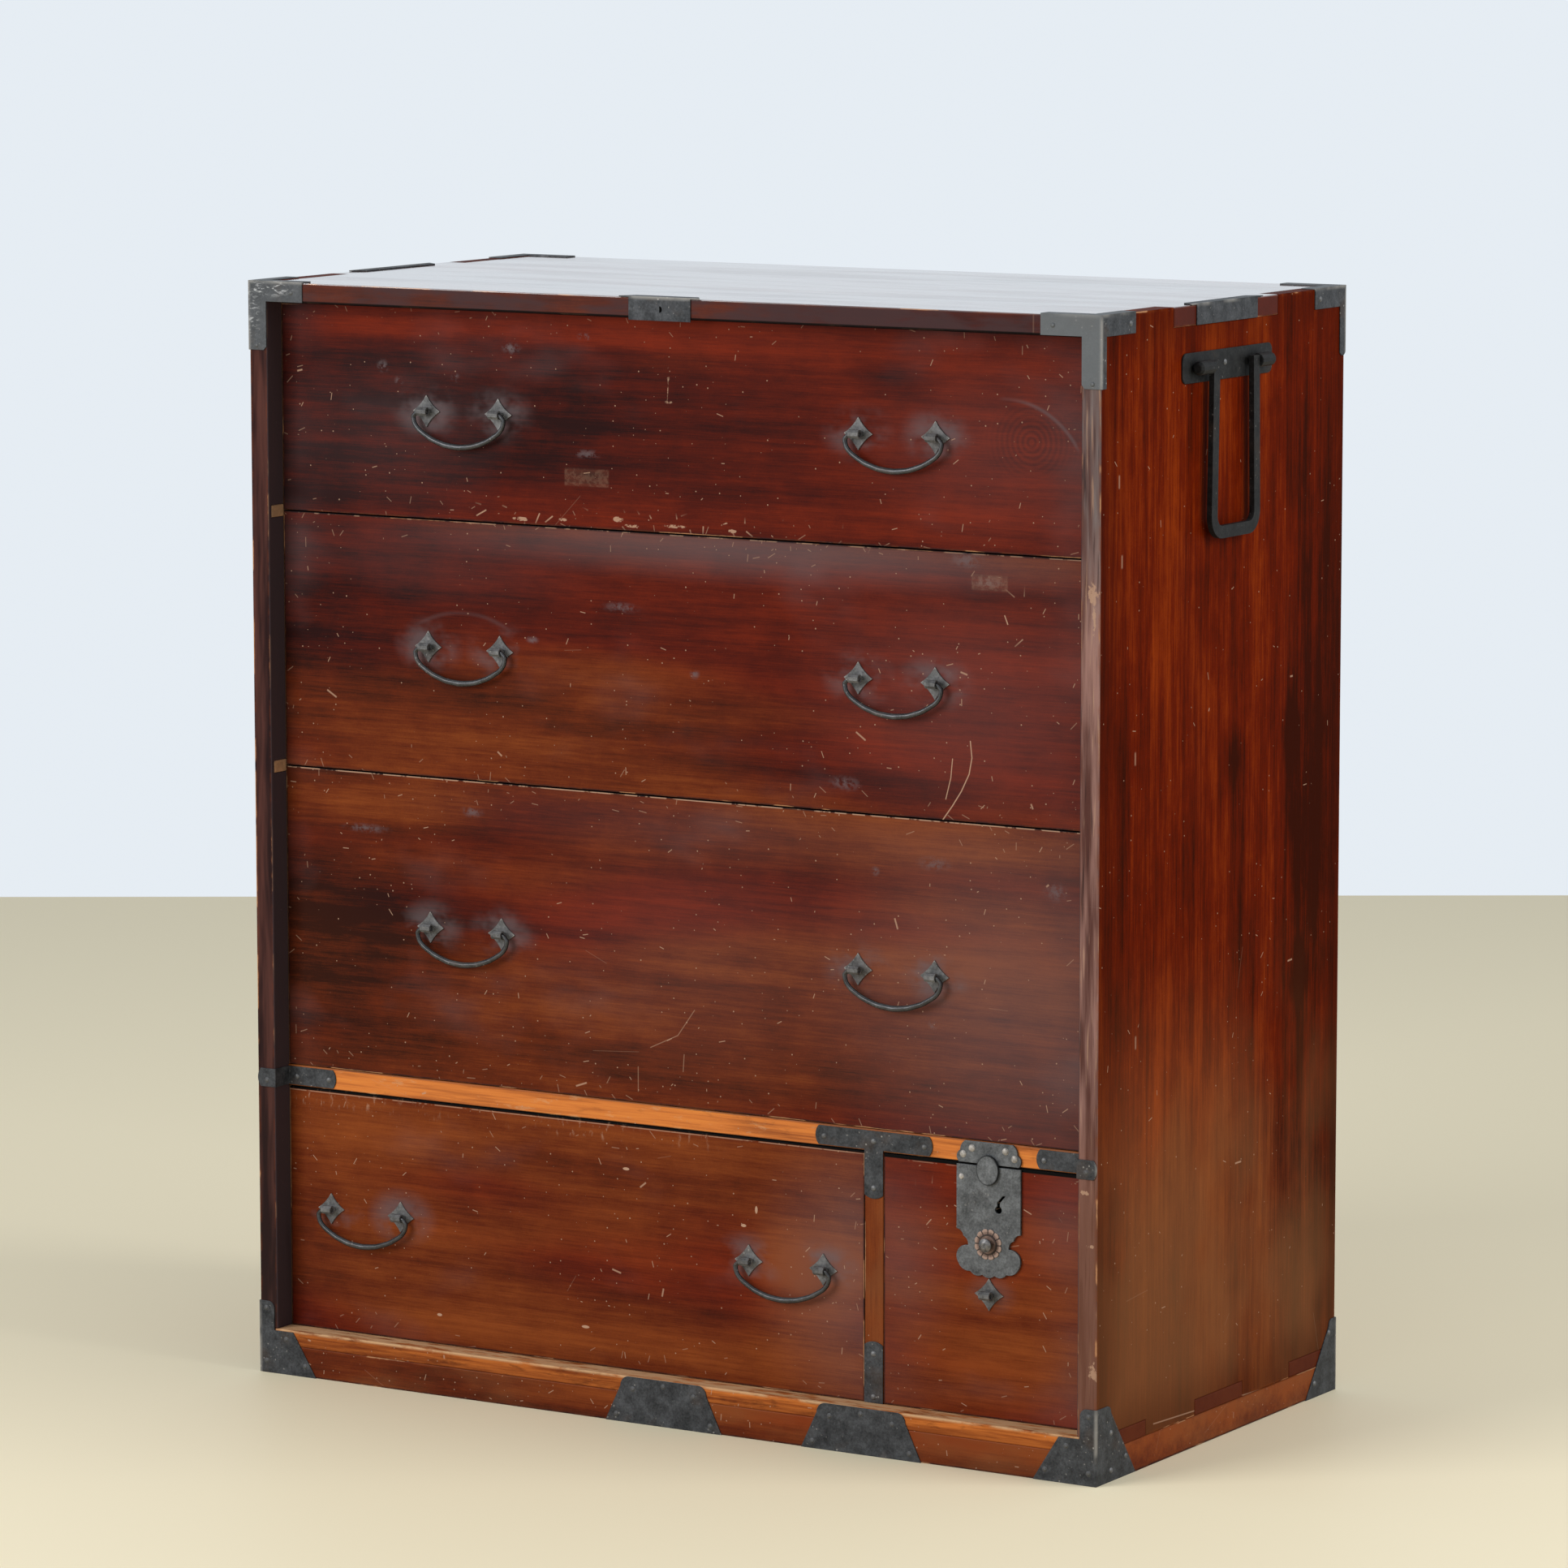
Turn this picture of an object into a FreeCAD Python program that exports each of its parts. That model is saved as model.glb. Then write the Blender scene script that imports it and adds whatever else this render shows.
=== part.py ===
"""Tansu chest: a finger-jointed case with five drawers, iron fittings, forged bails and a lock.

Millimetres, +Z up. The origin is at the middle of the footprint on the floor, and the drawers
face -Y. Every sub-part is written to parts/NAME.step.
"""

import FreeCAD, Part
import math
import os

Vec = FreeCAD.Vector

# Case
case_width = 798.0
case_depth = 405.0
case_height = 912.0
side_thickness = 17.0
top_thickness = 16.0
bottom_thickness = 13.0
back_thickness = 9.0
back_board_count = 4
back_board_gap = 0.6
back_rebate = 8.0
plinth_height = 25.0
plinth_thickness = 20.0
shelf_thickness = 10.0
housing_depth = 6.0
housing_front_stop = 4.0
top_tongue_share = 3.0 / 7.0
bottom_finger_count = 5

# Fronts and the bays behind them, from the top
front_recess = 20.0
upper_bay_share = 0.206
middle_bay_share = 0.2524
lower_bay_share = 0.2994
rail_height = 18.0
rail_depth = 35.0
post_width = 17.2
post_offset = 186.0
partition_thickness = 14.0

# Drawers
front_thickness = 18.0
front_gap = 0.6
wall_thickness = 9.0
drawer_bottom_thickness = 6.0
drawer_side_gap = 1.0
drawer_running_gap = 0.4
drawer_roof_gap = 4.0
drawer_back_gap = 4.0
wall_rebate = 12.0
bottom_rebate = 8.0
drawer_finger_count = 5

# Drawer pulls
pull_spacing = 409.0
pull_shift = 2.0
pull_rise = 1.5
pin_spacing = 70.0
pull_standoff = 6.5
diamond_half = 13.0
diamond_waist = 1.1
pull_plate_thickness = 1.2
eye_length = 9.5
eye_radius = 3.6
eye_flat_count = 8
shank_height = 2.4
shank_gap = 0.15
clinch_length = 9.0
clinch_thickness = 1.2
bail_tip_radius = 1.5
bail_middle_radius = 2.5
bail_tip_gap = 0.45
bail_end_gap = 0.6
bail_elbow = 4.0
bail_shoulder = 14.0
bail_drop = 28.0
bail_flat_count = 8
bail_steps = (1, 1, 2, 3)

# Sheet iron on the case
iron_thickness = 1.0
iron_clearance = 0.3
corner_arm = 53.0
corner_leg = 56.0
corner_flange = 12.0
corner_back_strip = 9.0
corner_front_strip = 7.0
edge_strap_length = 101.0
strap_point = 9.0
top_plate_width = 58.0
top_plate_drop = 18.0
top_plate_flange = 13.0
half_moon_radius = 2.6
base_corner_reach = 56.0
base_corner_height = 61.0
base_corner_shoulder = 33.0
base_corner_shoulder_drop = 1.5
base_corner_leg = 14.0
base_corner_side_reach = 63.0
base_corner_side_crest = 23.0
base_corner_back_reach = 52.0
base_corner_back_crest = 12.0
base_corner_round = 6.0
base_plate_width = 111.0
base_plate_top_width = 66.0
base_plate_corner = 8.0
rail_strap_height = 15.5
rail_strap_reach = 48.0
tee_width = 108.0
tee_leg_drop = 38.0
foot_strap_height = 50.0
strap_nib = 3.0

# Side carrying handles
handle_plate_length = 149.0
handle_plate_height = 24.0
handle_plate_thickness = 1.5
handle_plate_corner = 6.0
handle_below_top = 49.0
handle_standoff = 7.4
handle_barrel_radius = 5.6
handle_barrel_flat_count = 12
handle_barrel_length = 23.0
handle_barrel_offset = 50.0
handle_barrel_chamfer = 2.0
handle_barrel_wall = 1.5
handle_shank_size = 6.0
handle_shank_depth = 13.0
handle_pin_radius = 2.1
handle_pin_gap = 0.35
handle_end_gap = 0.6
handle_bar_width = 10.0
handle_bar_thickness = 4.6
handle_length = 136.0
handle_bar_end = 4.5
handle_splay = 3.0
handle_corner = 13.0

# Lock on the small drawer
lock_shift = 3.4
lock_plate_width = 58.0
lock_plate_length = 89.0
lock_plate_thickness = 2.2
lock_plate_top_gap = 0.8
lock_straight = 52.0
lock_waist_width = 45.4
lock_waist_drop = 5.5
lock_neck_width = 37.0
lock_cove = 1.5
lobe_height = 24.5
lobe_rise = 5.6
scallops_per_side = 3
scallop_width = 10.9
scallop_rise = 2.2
scallop_sag = 7.6
rosette_drop = 62.0
rosette_radius = 12.8
rosette_petals = 12
rosette_petal_rise = 1.5
rosette_collar_radius = 8.2
rosette_thickness = 1.4
button_radius = 5.6
button_stem_radius = 3.0
button_stem_gap = 0.3
button_neck = 3.2
button_dome = 2.6
button_rim = 1.2
button_crown_radius = 2.4
slide_width = 20.0
slide_height = 24.0
slide_thickness = 2.0
slide_overhang = 9.3
slide_gap = 0.3
slide_stem_width = 5.0
slide_stem_height = 3.5
slide_stem_drop = 4.6
slide_travel = 7.0
keyhole_offset = 9.0
keyhole_drop = 33.7
keyhole_radius = 3.0
keyhole_slot = 2.6
keyhole_lean = 5.1
keyhole_kink = 5.7
keyhole_rise = 11.5
lock_case_drop = 1.0
lock_case_width = 46.0
lock_case_height = 70.0
lock_case_depth = 14.0
lock_case_wall = 1.5
bolt_width = 12.0
bolt_thickness = 5.0
bolt_withdrawn = 6.0
bolt_length = 26.0
small_plate_drop = 102.5
strike_foot_width = 54.0
strike_notch_width = 52.0
strike_top_width = 43.0
strike_thickness = 2.0
strike_lobe_height = 9.5
strike_lobe_rise = 2.6
strike_shoulder_rise = 1.2

# Places worked out from the sizes above
side_x = case_width / 2
inner_x = side_x - side_thickness
front_y = -case_depth / 2
back_y = case_depth / 2
face_y = front_y + front_recess
back_board_y = back_y - back_thickness
floor_z = plinth_height + bottom_thickness
ceiling_z = case_height - top_thickness
room_height = ceiling_z - floor_z - rail_height
upper_shelf_z = ceiling_z - upper_bay_share * room_height
middle_shelf_z = upper_shelf_z - middle_bay_share * room_height
rail_top = middle_shelf_z - lower_bay_share * room_height
rail_bottom = rail_top - rail_height
rail_back_y = face_y + rail_depth
post_left = post_offset - post_width / 2
post_right = post_offset + post_width / 2
board_back_y = face_y + front_thickness
handle_z = case_height - handle_below_top
lock_x = (post_right + inner_x) / 2 + lock_shift
lock_top = rail_bottom - front_gap - lock_plate_top_gap
pull_axis_y = face_y - pull_standoff
iron_front_y = front_y - iron_thickness
iron_top_z = case_height + iron_thickness
iron_side_x = side_x + iron_thickness
quarter_rise = 1 - math.sqrt(0.5)


def box(x0, x1, y0, y1, z0, z1):
    return Part.makeBox(x1 - x0, y1 - y0, z1 - z0, Vec(x0, y0, z0))


def cylinder(start, axis, radius, length):
    return Part.makeCylinder(radius, length, Vec(*start), Vec(*axis))


def mirrored(shape):
    """The same piece for the other side of the case."""
    return shape.mirror(Vec(0, 0, 0), Vec(1, 0, 0))


def pair(shape):
    """A piece and its mirror image, as two solids of one group."""
    return Part.makeCompound([shape, mirrored(shape)])


def joined(first, *others):
    return first.multiFuse(others).removeSplitter()


def on_front(y):
    return lambda u, v: Vec(u, y, v)


def on_side(x):
    return lambda u, v: Vec(x, u, v)


def on_top(z):
    return lambda u, v: Vec(u, v, z)


def on_turning_plane(u, v):
    """Out from the push button's axis, and along it."""
    return Vec(lock_x + u, v, lock_top - rosette_drop)


def on_lock(u, v):
    """From the middle of the lock plate's upper edge."""
    return Vec(lock_x + u, face_y, lock_top + v)


def along_top_edge(u, v):
    return Vec(v, u, case_height)


def outline(place, *points):
    """A closed face through points (u, v), anticlockwise where a third number is to bulge outward.

    The third number makes the edge that ends there an arc. It is the arc's rise to the right of
    its way, and a negative one is hollow.
    """
    edges = []
    for before, point in zip(points[-1:] + points[:-1], points):
        start, end = Vec(*before[:2]), Vec(*point[:2])
        if len(point) == 3 and point[2]:
            way = end - start
            through = (start + end) / 2 + Vec(way.y, -way.x).normalize() * point[2]
            corners = [place(v.x, v.y) for v in (start, through, end)]
            edges.append(Part.Arc(*corners).toShape())
        else:
            edges.append(Part.makeLine(place(*before[:2]), place(*point[:2])))
    return Part.Face(Part.Wire(edges))


def symmetric(place, middle, half):
    """An outline from the points (u, v, rise) of its right half, listed upward from its foot."""
    right = [(middle + u, v, rise) for u, v, rise in half]
    rises = [rise for u, v, rise in half[1:]] + [0]
    left = [(middle - u, v, rise) for (u, v, own), rise in zip(half, rises) if u]
    return outline(place, *right, *reversed(left))


def rounded_rectangle(place, u0, u1, v0, v1, radius):
    """A rectangle whose four corners are round."""
    rise = radius * quarter_rise
    return outline(
        place, (u0 + radius, v0, rise), (u1 - radius, v0), (u1, v0 + radius, rise),
        (u1, v1 - radius), (u1 - radius, v1, rise), (u0 + radius, v1),
        (u0, v1 - radius, rise), (u0, v0 + radius))


def ring_of_flats(centre, out, across, radius, count):
    """A closed polygon of equal flats about a centre, in the plane of two directions."""
    corners = []
    for i in range(count):
        angle = 2 * math.pi * (i + 0.5) / count
        corners.append(centre + out * (radius * math.cos(angle)) + across * (radius * math.sin(angle)))
    return Part.makePolygon(corners + corners[:1])


def bar_of_flats(start, way, radius, count):
    """A bar of equal flats that starts at a point and runs along a level vector."""
    level = way.cross(Vec(0, 0, 1)).normalize()
    return Part.Face(ring_of_flats(start, level, Vec(0, 0, 1), radius, count)).extrude(way)


def over_flats(radius, count):
    """The corner radius of a bar or bore whose flats stand at a radius."""
    return radius / math.cos(math.pi / count)


def spans(low, high, count):
    """Equal steps from low to high, as (low, high) pairs."""
    step = (high - low) / count
    return [(low + step * i, low + step * (i + 1)) for i in range(count)]


# Case of wood

def top_tongue():
    """The stretch of the depth where the top panel runs through the sides."""
    half = case_depth * top_tongue_share / 2
    return -half, half


def bottom_tongues():
    """Every other stretch of the depth, where the bottom panel runs through the sides."""
    return spans(front_y, back_y, bottom_finger_count)[::2]


def back_space():
    """The rebate all round the back of the case that takes the back boards."""
    reach = inner_x + back_rebate
    return (-reach, reach, back_board_y, back_y, floor_z - back_rebate, ceiling_z + back_rebate)


def top_panel():
    y0, y1 = top_tongue()
    panel = box(-inner_x, inner_x, front_y, back_y, ceiling_z, case_height)
    tongue = box(-side_x, side_x, y0, y1, ceiling_z, case_height)
    return joined(panel, tongue).cut(box(*back_space()))


def bottom_panel():
    panel = box(-inner_x, inner_x, front_y, back_y, plinth_height, floor_z)
    tongues = [box(-side_x, side_x, y0, y1, plinth_height, floor_z) for y0, y1 in bottom_tongues()]
    return joined(panel, *tongues).cut(box(*back_space()))


def shelf_housing(level, thickness, start_y):
    return box(-inner_x - housing_depth, inner_x + housing_depth, start_y, back_board_y,
               level - thickness, level)


def side_panel_right():
    panel = box(inner_x, side_x, front_y, back_y, plinth_height, case_height)
    y0, y1 = top_tongue()
    cuts = [box(inner_x, side_x, y0, y1, ceiling_z, case_height), box(*back_space())]
    cuts += [box(inner_x, side_x, y0, y1, plinth_height, floor_z) for y0, y1 in bottom_tongues()]
    horn_y = front_y + housing_front_stop
    for level in (upper_shelf_z, middle_shelf_z):
        cuts.append(shelf_housing(level + shelf_thickness / 2, shelf_thickness, horn_y))
    cuts.append(shelf_housing(rail_top, shelf_thickness, rail_back_y))
    cuts.append(rail_body())
    cuts += [handle_shank(side, handle_pin_gap) for side in (-1, 1)]
    return panel.cut(Part.makeCompound(cuts))


def back_boards():
    """Horizontal boards nailed into the rebate at the back."""
    x0, x1, y0, y1, z0, z1 = back_space()
    half_gap = back_board_gap / 2
    boards = []
    for low, high in spans(z0, z1, back_board_count):
        boards.append(box(x0, x1, y0, y1, low + half_gap, high - half_gap))
    return Part.makeCompound(boards)


def plinth_rails():
    """Front and back rail run through, and the two side rails stand between them."""
    t = plinth_thickness
    side_rail = box(side_x - t, side_x, front_y + t, back_y - t, 0, plinth_height)
    front_rail = box(-side_x, side_x, front_y, front_y + t, 0, plinth_height)
    back_rail = box(-side_x, side_x, back_y - t, back_y, 0, plinth_height)
    return Part.makeCompound([front_rail, back_rail, side_rail, mirrored(side_rail)])


def front_shelf(level):
    """A dust shelf behind the drawer fronts. Two horns run forward in its housings."""
    z0 = level - shelf_thickness / 2
    z1 = z0 + shelf_thickness
    reach = inner_x + housing_depth
    board = box(-reach, reach, board_back_y + front_gap, back_board_y, z0, z1)
    horn = box(inner_x, reach, front_y + housing_front_stop, back_board_y, z0, z1)
    return joined(board, horn, mirrored(horn))


def shelf_lower():
    return shelf_housing(rail_top, shelf_thickness, rail_back_y)


def rail_body():
    reach = inner_x + housing_depth
    return box(-reach, reach, face_y, rail_back_y, rail_bottom, rail_top)


def divider_post():
    return box(post_left, post_right, face_y, rail_back_y, floor_z, rail_bottom)


def partition_board():
    half = partition_thickness / 2
    return box(post_offset - half, post_offset + half, rail_back_y, back_board_y,
               floor_z, rail_top - shelf_thickness)


# Drawers

class Bay:
    """The room for one drawer: its front's limits and the levels that it runs between."""

    def __init__(self, name, left, right, low, high, floor, roof):
        self.name = name
        self.left = left + front_gap
        self.right = right - front_gap
        self.low = low + front_gap
        self.high = high - front_gap
        self.box_left = left + drawer_side_gap
        self.box_right = right - drawer_side_gap
        self.box_low = floor + drawer_running_gap
        self.wall_low = self.box_low + drawer_bottom_thickness
        self.wall_high = roof - drawer_roof_gap
        self.box_back = back_board_y - drawer_back_gap
        self.middle = (left + right) / 2
        self.pull_z = (low + high) / 2 + pull_rise


def bays():
    half_shelf = shelf_thickness / 2
    return [
        Bay("drawer_1", -inner_x, inner_x, upper_shelf_z, ceiling_z,
            upper_shelf_z + half_shelf, ceiling_z),
        Bay("drawer_2", -inner_x, inner_x, middle_shelf_z, upper_shelf_z,
            middle_shelf_z + half_shelf, upper_shelf_z - half_shelf),
        Bay("drawer_3", -inner_x, inner_x, rail_top, middle_shelf_z,
            rail_top, middle_shelf_z - half_shelf),
        Bay("drawer_4", -inner_x, post_left, floor_z, rail_bottom, floor_z, rail_bottom),
        Bay("drawer_5", post_right, inner_x, floor_z, rail_bottom, floor_z, rail_bottom),
    ]


def drawer_bottom(bay):
    """The bottom board, let into the front and nailed up under the walls."""
    return box(bay.box_left, bay.box_right, board_back_y - bottom_rebate, bay.box_back,
               bay.box_low, bay.wall_low)


def drawer_side(bay, left):
    """A side wall whose rear end carries every other finger of the corner joint."""
    x0 = bay.box_left if left else bay.box_right - wall_thickness
    x1 = x0 + wall_thickness
    joint_y = bay.box_back - wall_thickness
    wall = box(x0, x1, board_back_y - wall_rebate, joint_y, bay.wall_low, bay.wall_high)
    fingers = spans(bay.wall_low, bay.wall_high, drawer_finger_count)[::2]
    return joined(wall, *[box(x0, x1, joint_y, bay.box_back, z0, z1) for z0, z1 in fingers])


def drawer_back(bay):
    joint_y = bay.box_back - wall_thickness
    wall = box(bay.box_left + wall_thickness, bay.box_right - wall_thickness, joint_y, bay.box_back,
               bay.wall_low, bay.wall_high)
    fingers = spans(bay.wall_low, bay.wall_high, drawer_finger_count)[1::2]
    return joined(wall, *[box(bay.box_left, bay.box_right, joint_y, bay.box_back, z0, z1)
                          for z0, z1 in fingers])


def drawer_front(bay, holes):
    """The front board, rebated for the walls and the bottom, with the holes of its fittings."""
    front = box(bay.left, bay.right, face_y, board_back_y, bay.low, bay.high)
    rebate_y = board_back_y - wall_rebate
    rebate_left = box(bay.left, bay.box_left + wall_thickness, rebate_y, board_back_y,
                      bay.wall_low, bay.wall_high)
    rebate_right = box(bay.box_right - wall_thickness, bay.right, rebate_y, board_back_y,
                       bay.wall_low, bay.wall_high)
    cuts = [rebate_left, rebate_right, drawer_bottom(bay)] + holes
    return front.cut(Part.makeCompound(cuts))


def drawer_walls(bay):
    return Part.makeCompound([drawer_side(bay, True), drawer_side(bay, False), drawer_back(bay)])


# Pulls

def pin_places(bay):
    """Where the eyes of a wide drawer's two bails stand."""
    if bay.name == "drawer_5":
        return [(lock_x, lock_top - small_plate_drop)]
    half = pin_spacing / 2
    return [(x + offset, bay.pull_z) for x in pull_places(bay) for offset in (-half, half)]


def pull_places(bay):
    middle = bay.middle + pull_shift
    return [middle - pull_spacing / 2, middle + pull_spacing / 2]


def diamond(x, z):
    """A square of sheet iron on its point, with edges drawn in a little."""
    h = diamond_half
    waist = -diamond_waist
    face = symmetric(on_front(face_y), x, [(0, z - h, waist), (h, z, waist), (0, z + h, waist)])
    return face.extrude(Vec(0, -pull_plate_thickness, 0)).cut(pin_hole(x, z, shank_gap))


def pin_hole(x, z, gap):
    """The shank of an eye pin, or with a gap the slot that it passes through."""
    half_width = eye_length / 2 + gap
    half_height = shank_height / 2 + gap
    return box(x - half_width, x + half_width, pull_axis_y, board_back_y,
               z - half_height, z + half_height)


def eye_pin(x, z):
    """A pin folded from a strip: a rolled eye in front, a flat shank and two clinched ends."""
    half = eye_length / 2
    start = Vec(x - half, pull_axis_y, z)
    along = Vec(eye_length, 0, 0)
    eye = bar_of_flats(start, along, eye_radius, eye_flat_count)
    bore_radius = over_flats(bail_tip_radius + bail_tip_gap, eye_flat_count)
    bore = bar_of_flats(start, along, bore_radius, eye_flat_count)
    clinch = box(x - half, x + half, board_back_y, board_back_y + clinch_thickness,
                 z - clinch_length, z + clinch_length)
    return joined(eye, pin_hole(x, z, 0), clinch).cut(bore)


def pull_mounts(bay):
    solids = []
    for x, z in pin_places(bay):
        solids += [diamond(x, z), eye_pin(x, z)]
    return Part.makeCompound(solids)


def bail_path():
    """Right half of a bail's centre line in its own plane, from its tip to the middle below."""
    tip_x = pin_spacing / 2 - eye_length / 2
    elbow_x = pin_spacing / 2 + eye_length / 2 + bail_end_gap
    leg_x = elbow_x + bail_elbow
    depth = bail_drop - bail_elbow
    shoulder_x = leg_x - bail_shoulder
    sweep = (shoulder_x ** 2 + depth ** 2 - bail_shoulder ** 2) / (2 * (depth - bail_shoulder))
    turn = math.atan2(sweep - depth, shoulder_x)
    tip = Vec(tip_x, 0, 0)
    elbow_start = Vec(elbow_x, 0, 0)
    elbow_mid = Vec(elbow_x + bail_elbow * math.sqrt(0.5), 0, bail_elbow * (math.sqrt(0.5) - 1))
    leg = Vec(leg_x, 0, -bail_elbow)

    def on_shoulder(angle):
        return Vec(shoulder_x + bail_shoulder * math.cos(angle), 0,
                   -bail_elbow - bail_shoulder * math.sin(angle))

    def on_sweep(angle):
        return Vec(sweep * math.cos(angle), 0, sweep - bail_drop - sweep * math.sin(angle))

    middle_angle = (turn + math.pi / 2) / 2
    return [
        Part.LineSegment(tip, elbow_start).toShape(),
        Part.Arc(elbow_start, elbow_mid, leg).toShape(),
        Part.Arc(leg, on_shoulder(turn / 2), on_shoulder(turn)).toShape(),
        Part.Arc(on_shoulder(turn), on_sweep(middle_angle), Vec(0, 0, -bail_drop)).toShape(),
    ]


def bail():
    """A forged bail about its own hinge line: thick below, tapering to tips that turn in."""
    path = bail_path()
    total = sum(edge.Length for edge in path)
    right = []
    done = 0.0
    for edge, steps in zip(path, bail_steps):
        for i in range(steps):
            length = edge.Length * i / steps
            share = (done + length) / total
            radius = bail_tip_radius + (bail_middle_radius - bail_tip_radius) * share
            right.append((edge.valueAt(edge.getParameterByLength(length)), radius))
        done += edge.Length
    left = [(Vec(-centre.x, 0, centre.z), radius) for centre, radius in reversed(right)]
    return flat_bar(right + [(Vec(0, 0, -bail_drop), bail_middle_radius)] + left)


def flat_bar(stations):
    """A bar of forged flats through (centre, radius) stations, mitred where it turns."""
    centres = [centre for centre, radius in stations]
    ways = [(after - before).normalize() for before, after in zip(centres, centres[1:])]
    outward = Vec(0, 1, 0)
    rings = []
    for (centre, radius), before, after in zip(stations, ways[:1] + ways, ways + ways[-1:]):
        along = (before + after).normalize()
        across = along.cross(outward) / along.dot(after)
        rings.append(ring_of_flats(centre, outward, across, radius, bail_flat_count))
    return Part.makeLoft(rings, True, True)


# Side carrying handles

def handle_plates():
    half = handle_plate_length / 2
    low = handle_z - handle_plate_height / 2
    high = handle_z + handle_plate_height / 2
    face = rounded_rectangle(on_side(side_x), -half, half, low, high, handle_plate_corner)
    plate = face.extrude(Vec(handle_plate_thickness, 0, 0))
    holes = [handle_shank(side, handle_pin_gap) for side in (-1, 1)]
    return pair(plate.cut(Part.makeCompound(holes)))


def handle_shank(side, gap):
    """The square shank of an eye post on the right side of the case, or with a gap its hole."""
    half = handle_shank_size / 2 + gap
    y = side * handle_barrel_offset
    return box(side_x - handle_shank_depth - gap, side_x + handle_standoff, y - half, y + half,
               handle_z - half, handle_z + half)


def barrel_ring(y, radius):
    """The flats round an eye post's barrel, at a distance along the case."""
    centre = Vec(side_x + handle_standoff, y, handle_z)
    return ring_of_flats(centre, Vec(1, 0, 0), Vec(0, 0, 1), radius, handle_barrel_flat_count)


def handle_post(side):
    """An eye post: a forged barrel along the edge of the case, drawn in at its outer end, on a shank."""
    inner = handle_barrel_offset - handle_barrel_length / 2
    outer = inner + handle_barrel_length
    rings = [barrel_ring(side * y, radius) for y, radius in (
        (inner, handle_barrel_radius), (outer - handle_barrel_chamfer, handle_barrel_radius),
        (outer, handle_barrel_radius - handle_barrel_chamfer))]
    barrel = Part.makeLoft(rings, True, True)
    start = Vec(side_x + handle_standoff, side * inner, handle_z)
    way = Vec(0, side * (handle_barrel_length - handle_barrel_wall), 0)
    bore_radius = over_flats(handle_pin_radius + handle_pin_gap, handle_barrel_flat_count)
    bore = bar_of_flats(start, way, bore_radius, handle_barrel_flat_count)
    return joined(barrel, handle_shank(side, 0)).cut(bore)


def handle_posts():
    posts = [handle_post(-1), handle_post(1)]
    return Part.makeCompound(posts + [mirrored(post) for post in posts])


def u_outline(x, grow):
    """The U of the handle's bar about its hinge line, to the bar's outer or inner edge."""
    end = handle_barrel_offset - handle_barrel_length / 2 - handle_end_gap
    top = end - handle_bar_width / 2 + grow
    foot = top + handle_splay
    low = handle_length - handle_bar_width / 2 + grow
    corner = handle_corner + grow
    bend = foot - handle_splay * corner / low
    rise = corner * quarter_rise
    return outline(
        on_side(x), (-top, handle_bar_end), (-bend, -low + corner), (-bend + corner, -low, rise),
        (bend - corner, -low), (bend, -low + corner, rise), (top, handle_bar_end))


def handle_bail():
    """A long U of flat bar about its own hinge line, with pins drawn down at its ends."""
    half = handle_bar_width / 2
    x = -handle_bar_thickness / 2
    through = Vec(handle_bar_thickness, 0, 0)
    bar = u_outline(x, half).extrude(through).cut(u_outline(x, -half).extrude(through))
    root = handle_barrel_offset - handle_barrel_length / 2 - handle_end_gap - half
    pin_length = half + handle_barrel_length - handle_barrel_wall
    pins = [bar_of_flats(Vec(0, side * root, 0), Vec(0, side * pin_length, 0), handle_pin_radius,
                         handle_barrel_flat_count) for side in (-1, 1)]
    return joined(bar, *pins)


# Sheet iron on the case

def iron_box(x0, x1, y0, y1, z0, z1):
    """A flat of sheet iron, given by its place."""
    return box(min(x0, x1), max(x0, x1), min(y0, y1), max(y0, y1), min(z0, z1), max(z0, z1))


def top_front_corner():
    """Right front corner: arms along both edges, a leg down the front and a narrow one round it."""
    x = side_x - corner_arm
    arm = outline(on_front(front_y), (iron_side_x, iron_top_z), (x, iron_top_z), (x, ceiling_z),
                  (inner_x + iron_clearance, ceiling_z),
                  (inner_x + iron_clearance, case_height - corner_leg + strap_nib),
                  (inner_x + strap_nib, case_height - corner_leg), (iron_side_x, case_height - corner_leg))
    front = arm.extrude(Vec(0, -iron_thickness, 0))
    y = front_y + corner_arm
    strip = front_y + corner_front_strip
    side_face = outline(on_side(side_x), (iron_front_y, iron_top_z), (y, iron_top_z), (y, ceiling_z),
                        (strip, ceiling_z), (strip, case_height - corner_leg),
                        (iron_front_y, case_height - corner_leg))
    side = side_face.extrude(Vec(iron_thickness, 0, 0))
    return joined(front, side, top_flange(iron_front_y, y, x))


def top_flange(y_corner, y_end, x_end):
    """The part of a corner iron that lies on the top, an L along both edges."""
    inward = 1 if y_end > y_corner else -1
    x_in = side_x - corner_flange
    y_in = y_corner + inward * (iron_thickness + corner_flange)
    face = outline(on_top(case_height), (iron_side_x, y_corner), (iron_side_x, y_end), (x_in, y_end),
                   (x_in, y_in), (x_end, y_in), (x_end, y_corner))
    return face.extrude(Vec(0, 0, iron_thickness))


def top_back_corner():
    """Right back corner: short arms, and a narrow strip down the back edge of the side."""
    y = back_y - corner_arm
    out_y = back_y + iron_thickness
    strip = back_y - corner_back_strip
    foot = case_height - corner_leg + strap_nib
    side_face = outline(on_side(side_x), (strip, foot), (out_y, foot, strap_nib), (out_y, iron_top_z),
                        (y, iron_top_z), (y, ceiling_z), (strip, ceiling_z))
    side = side_face.extrude(Vec(iron_thickness, 0, 0))
    back = iron_box(iron_side_x, side_x - corner_arm, back_y, out_y, ceiling_z, iron_top_z)
    return joined(side, back, top_flange(out_y, y, side_x - corner_arm))


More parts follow.
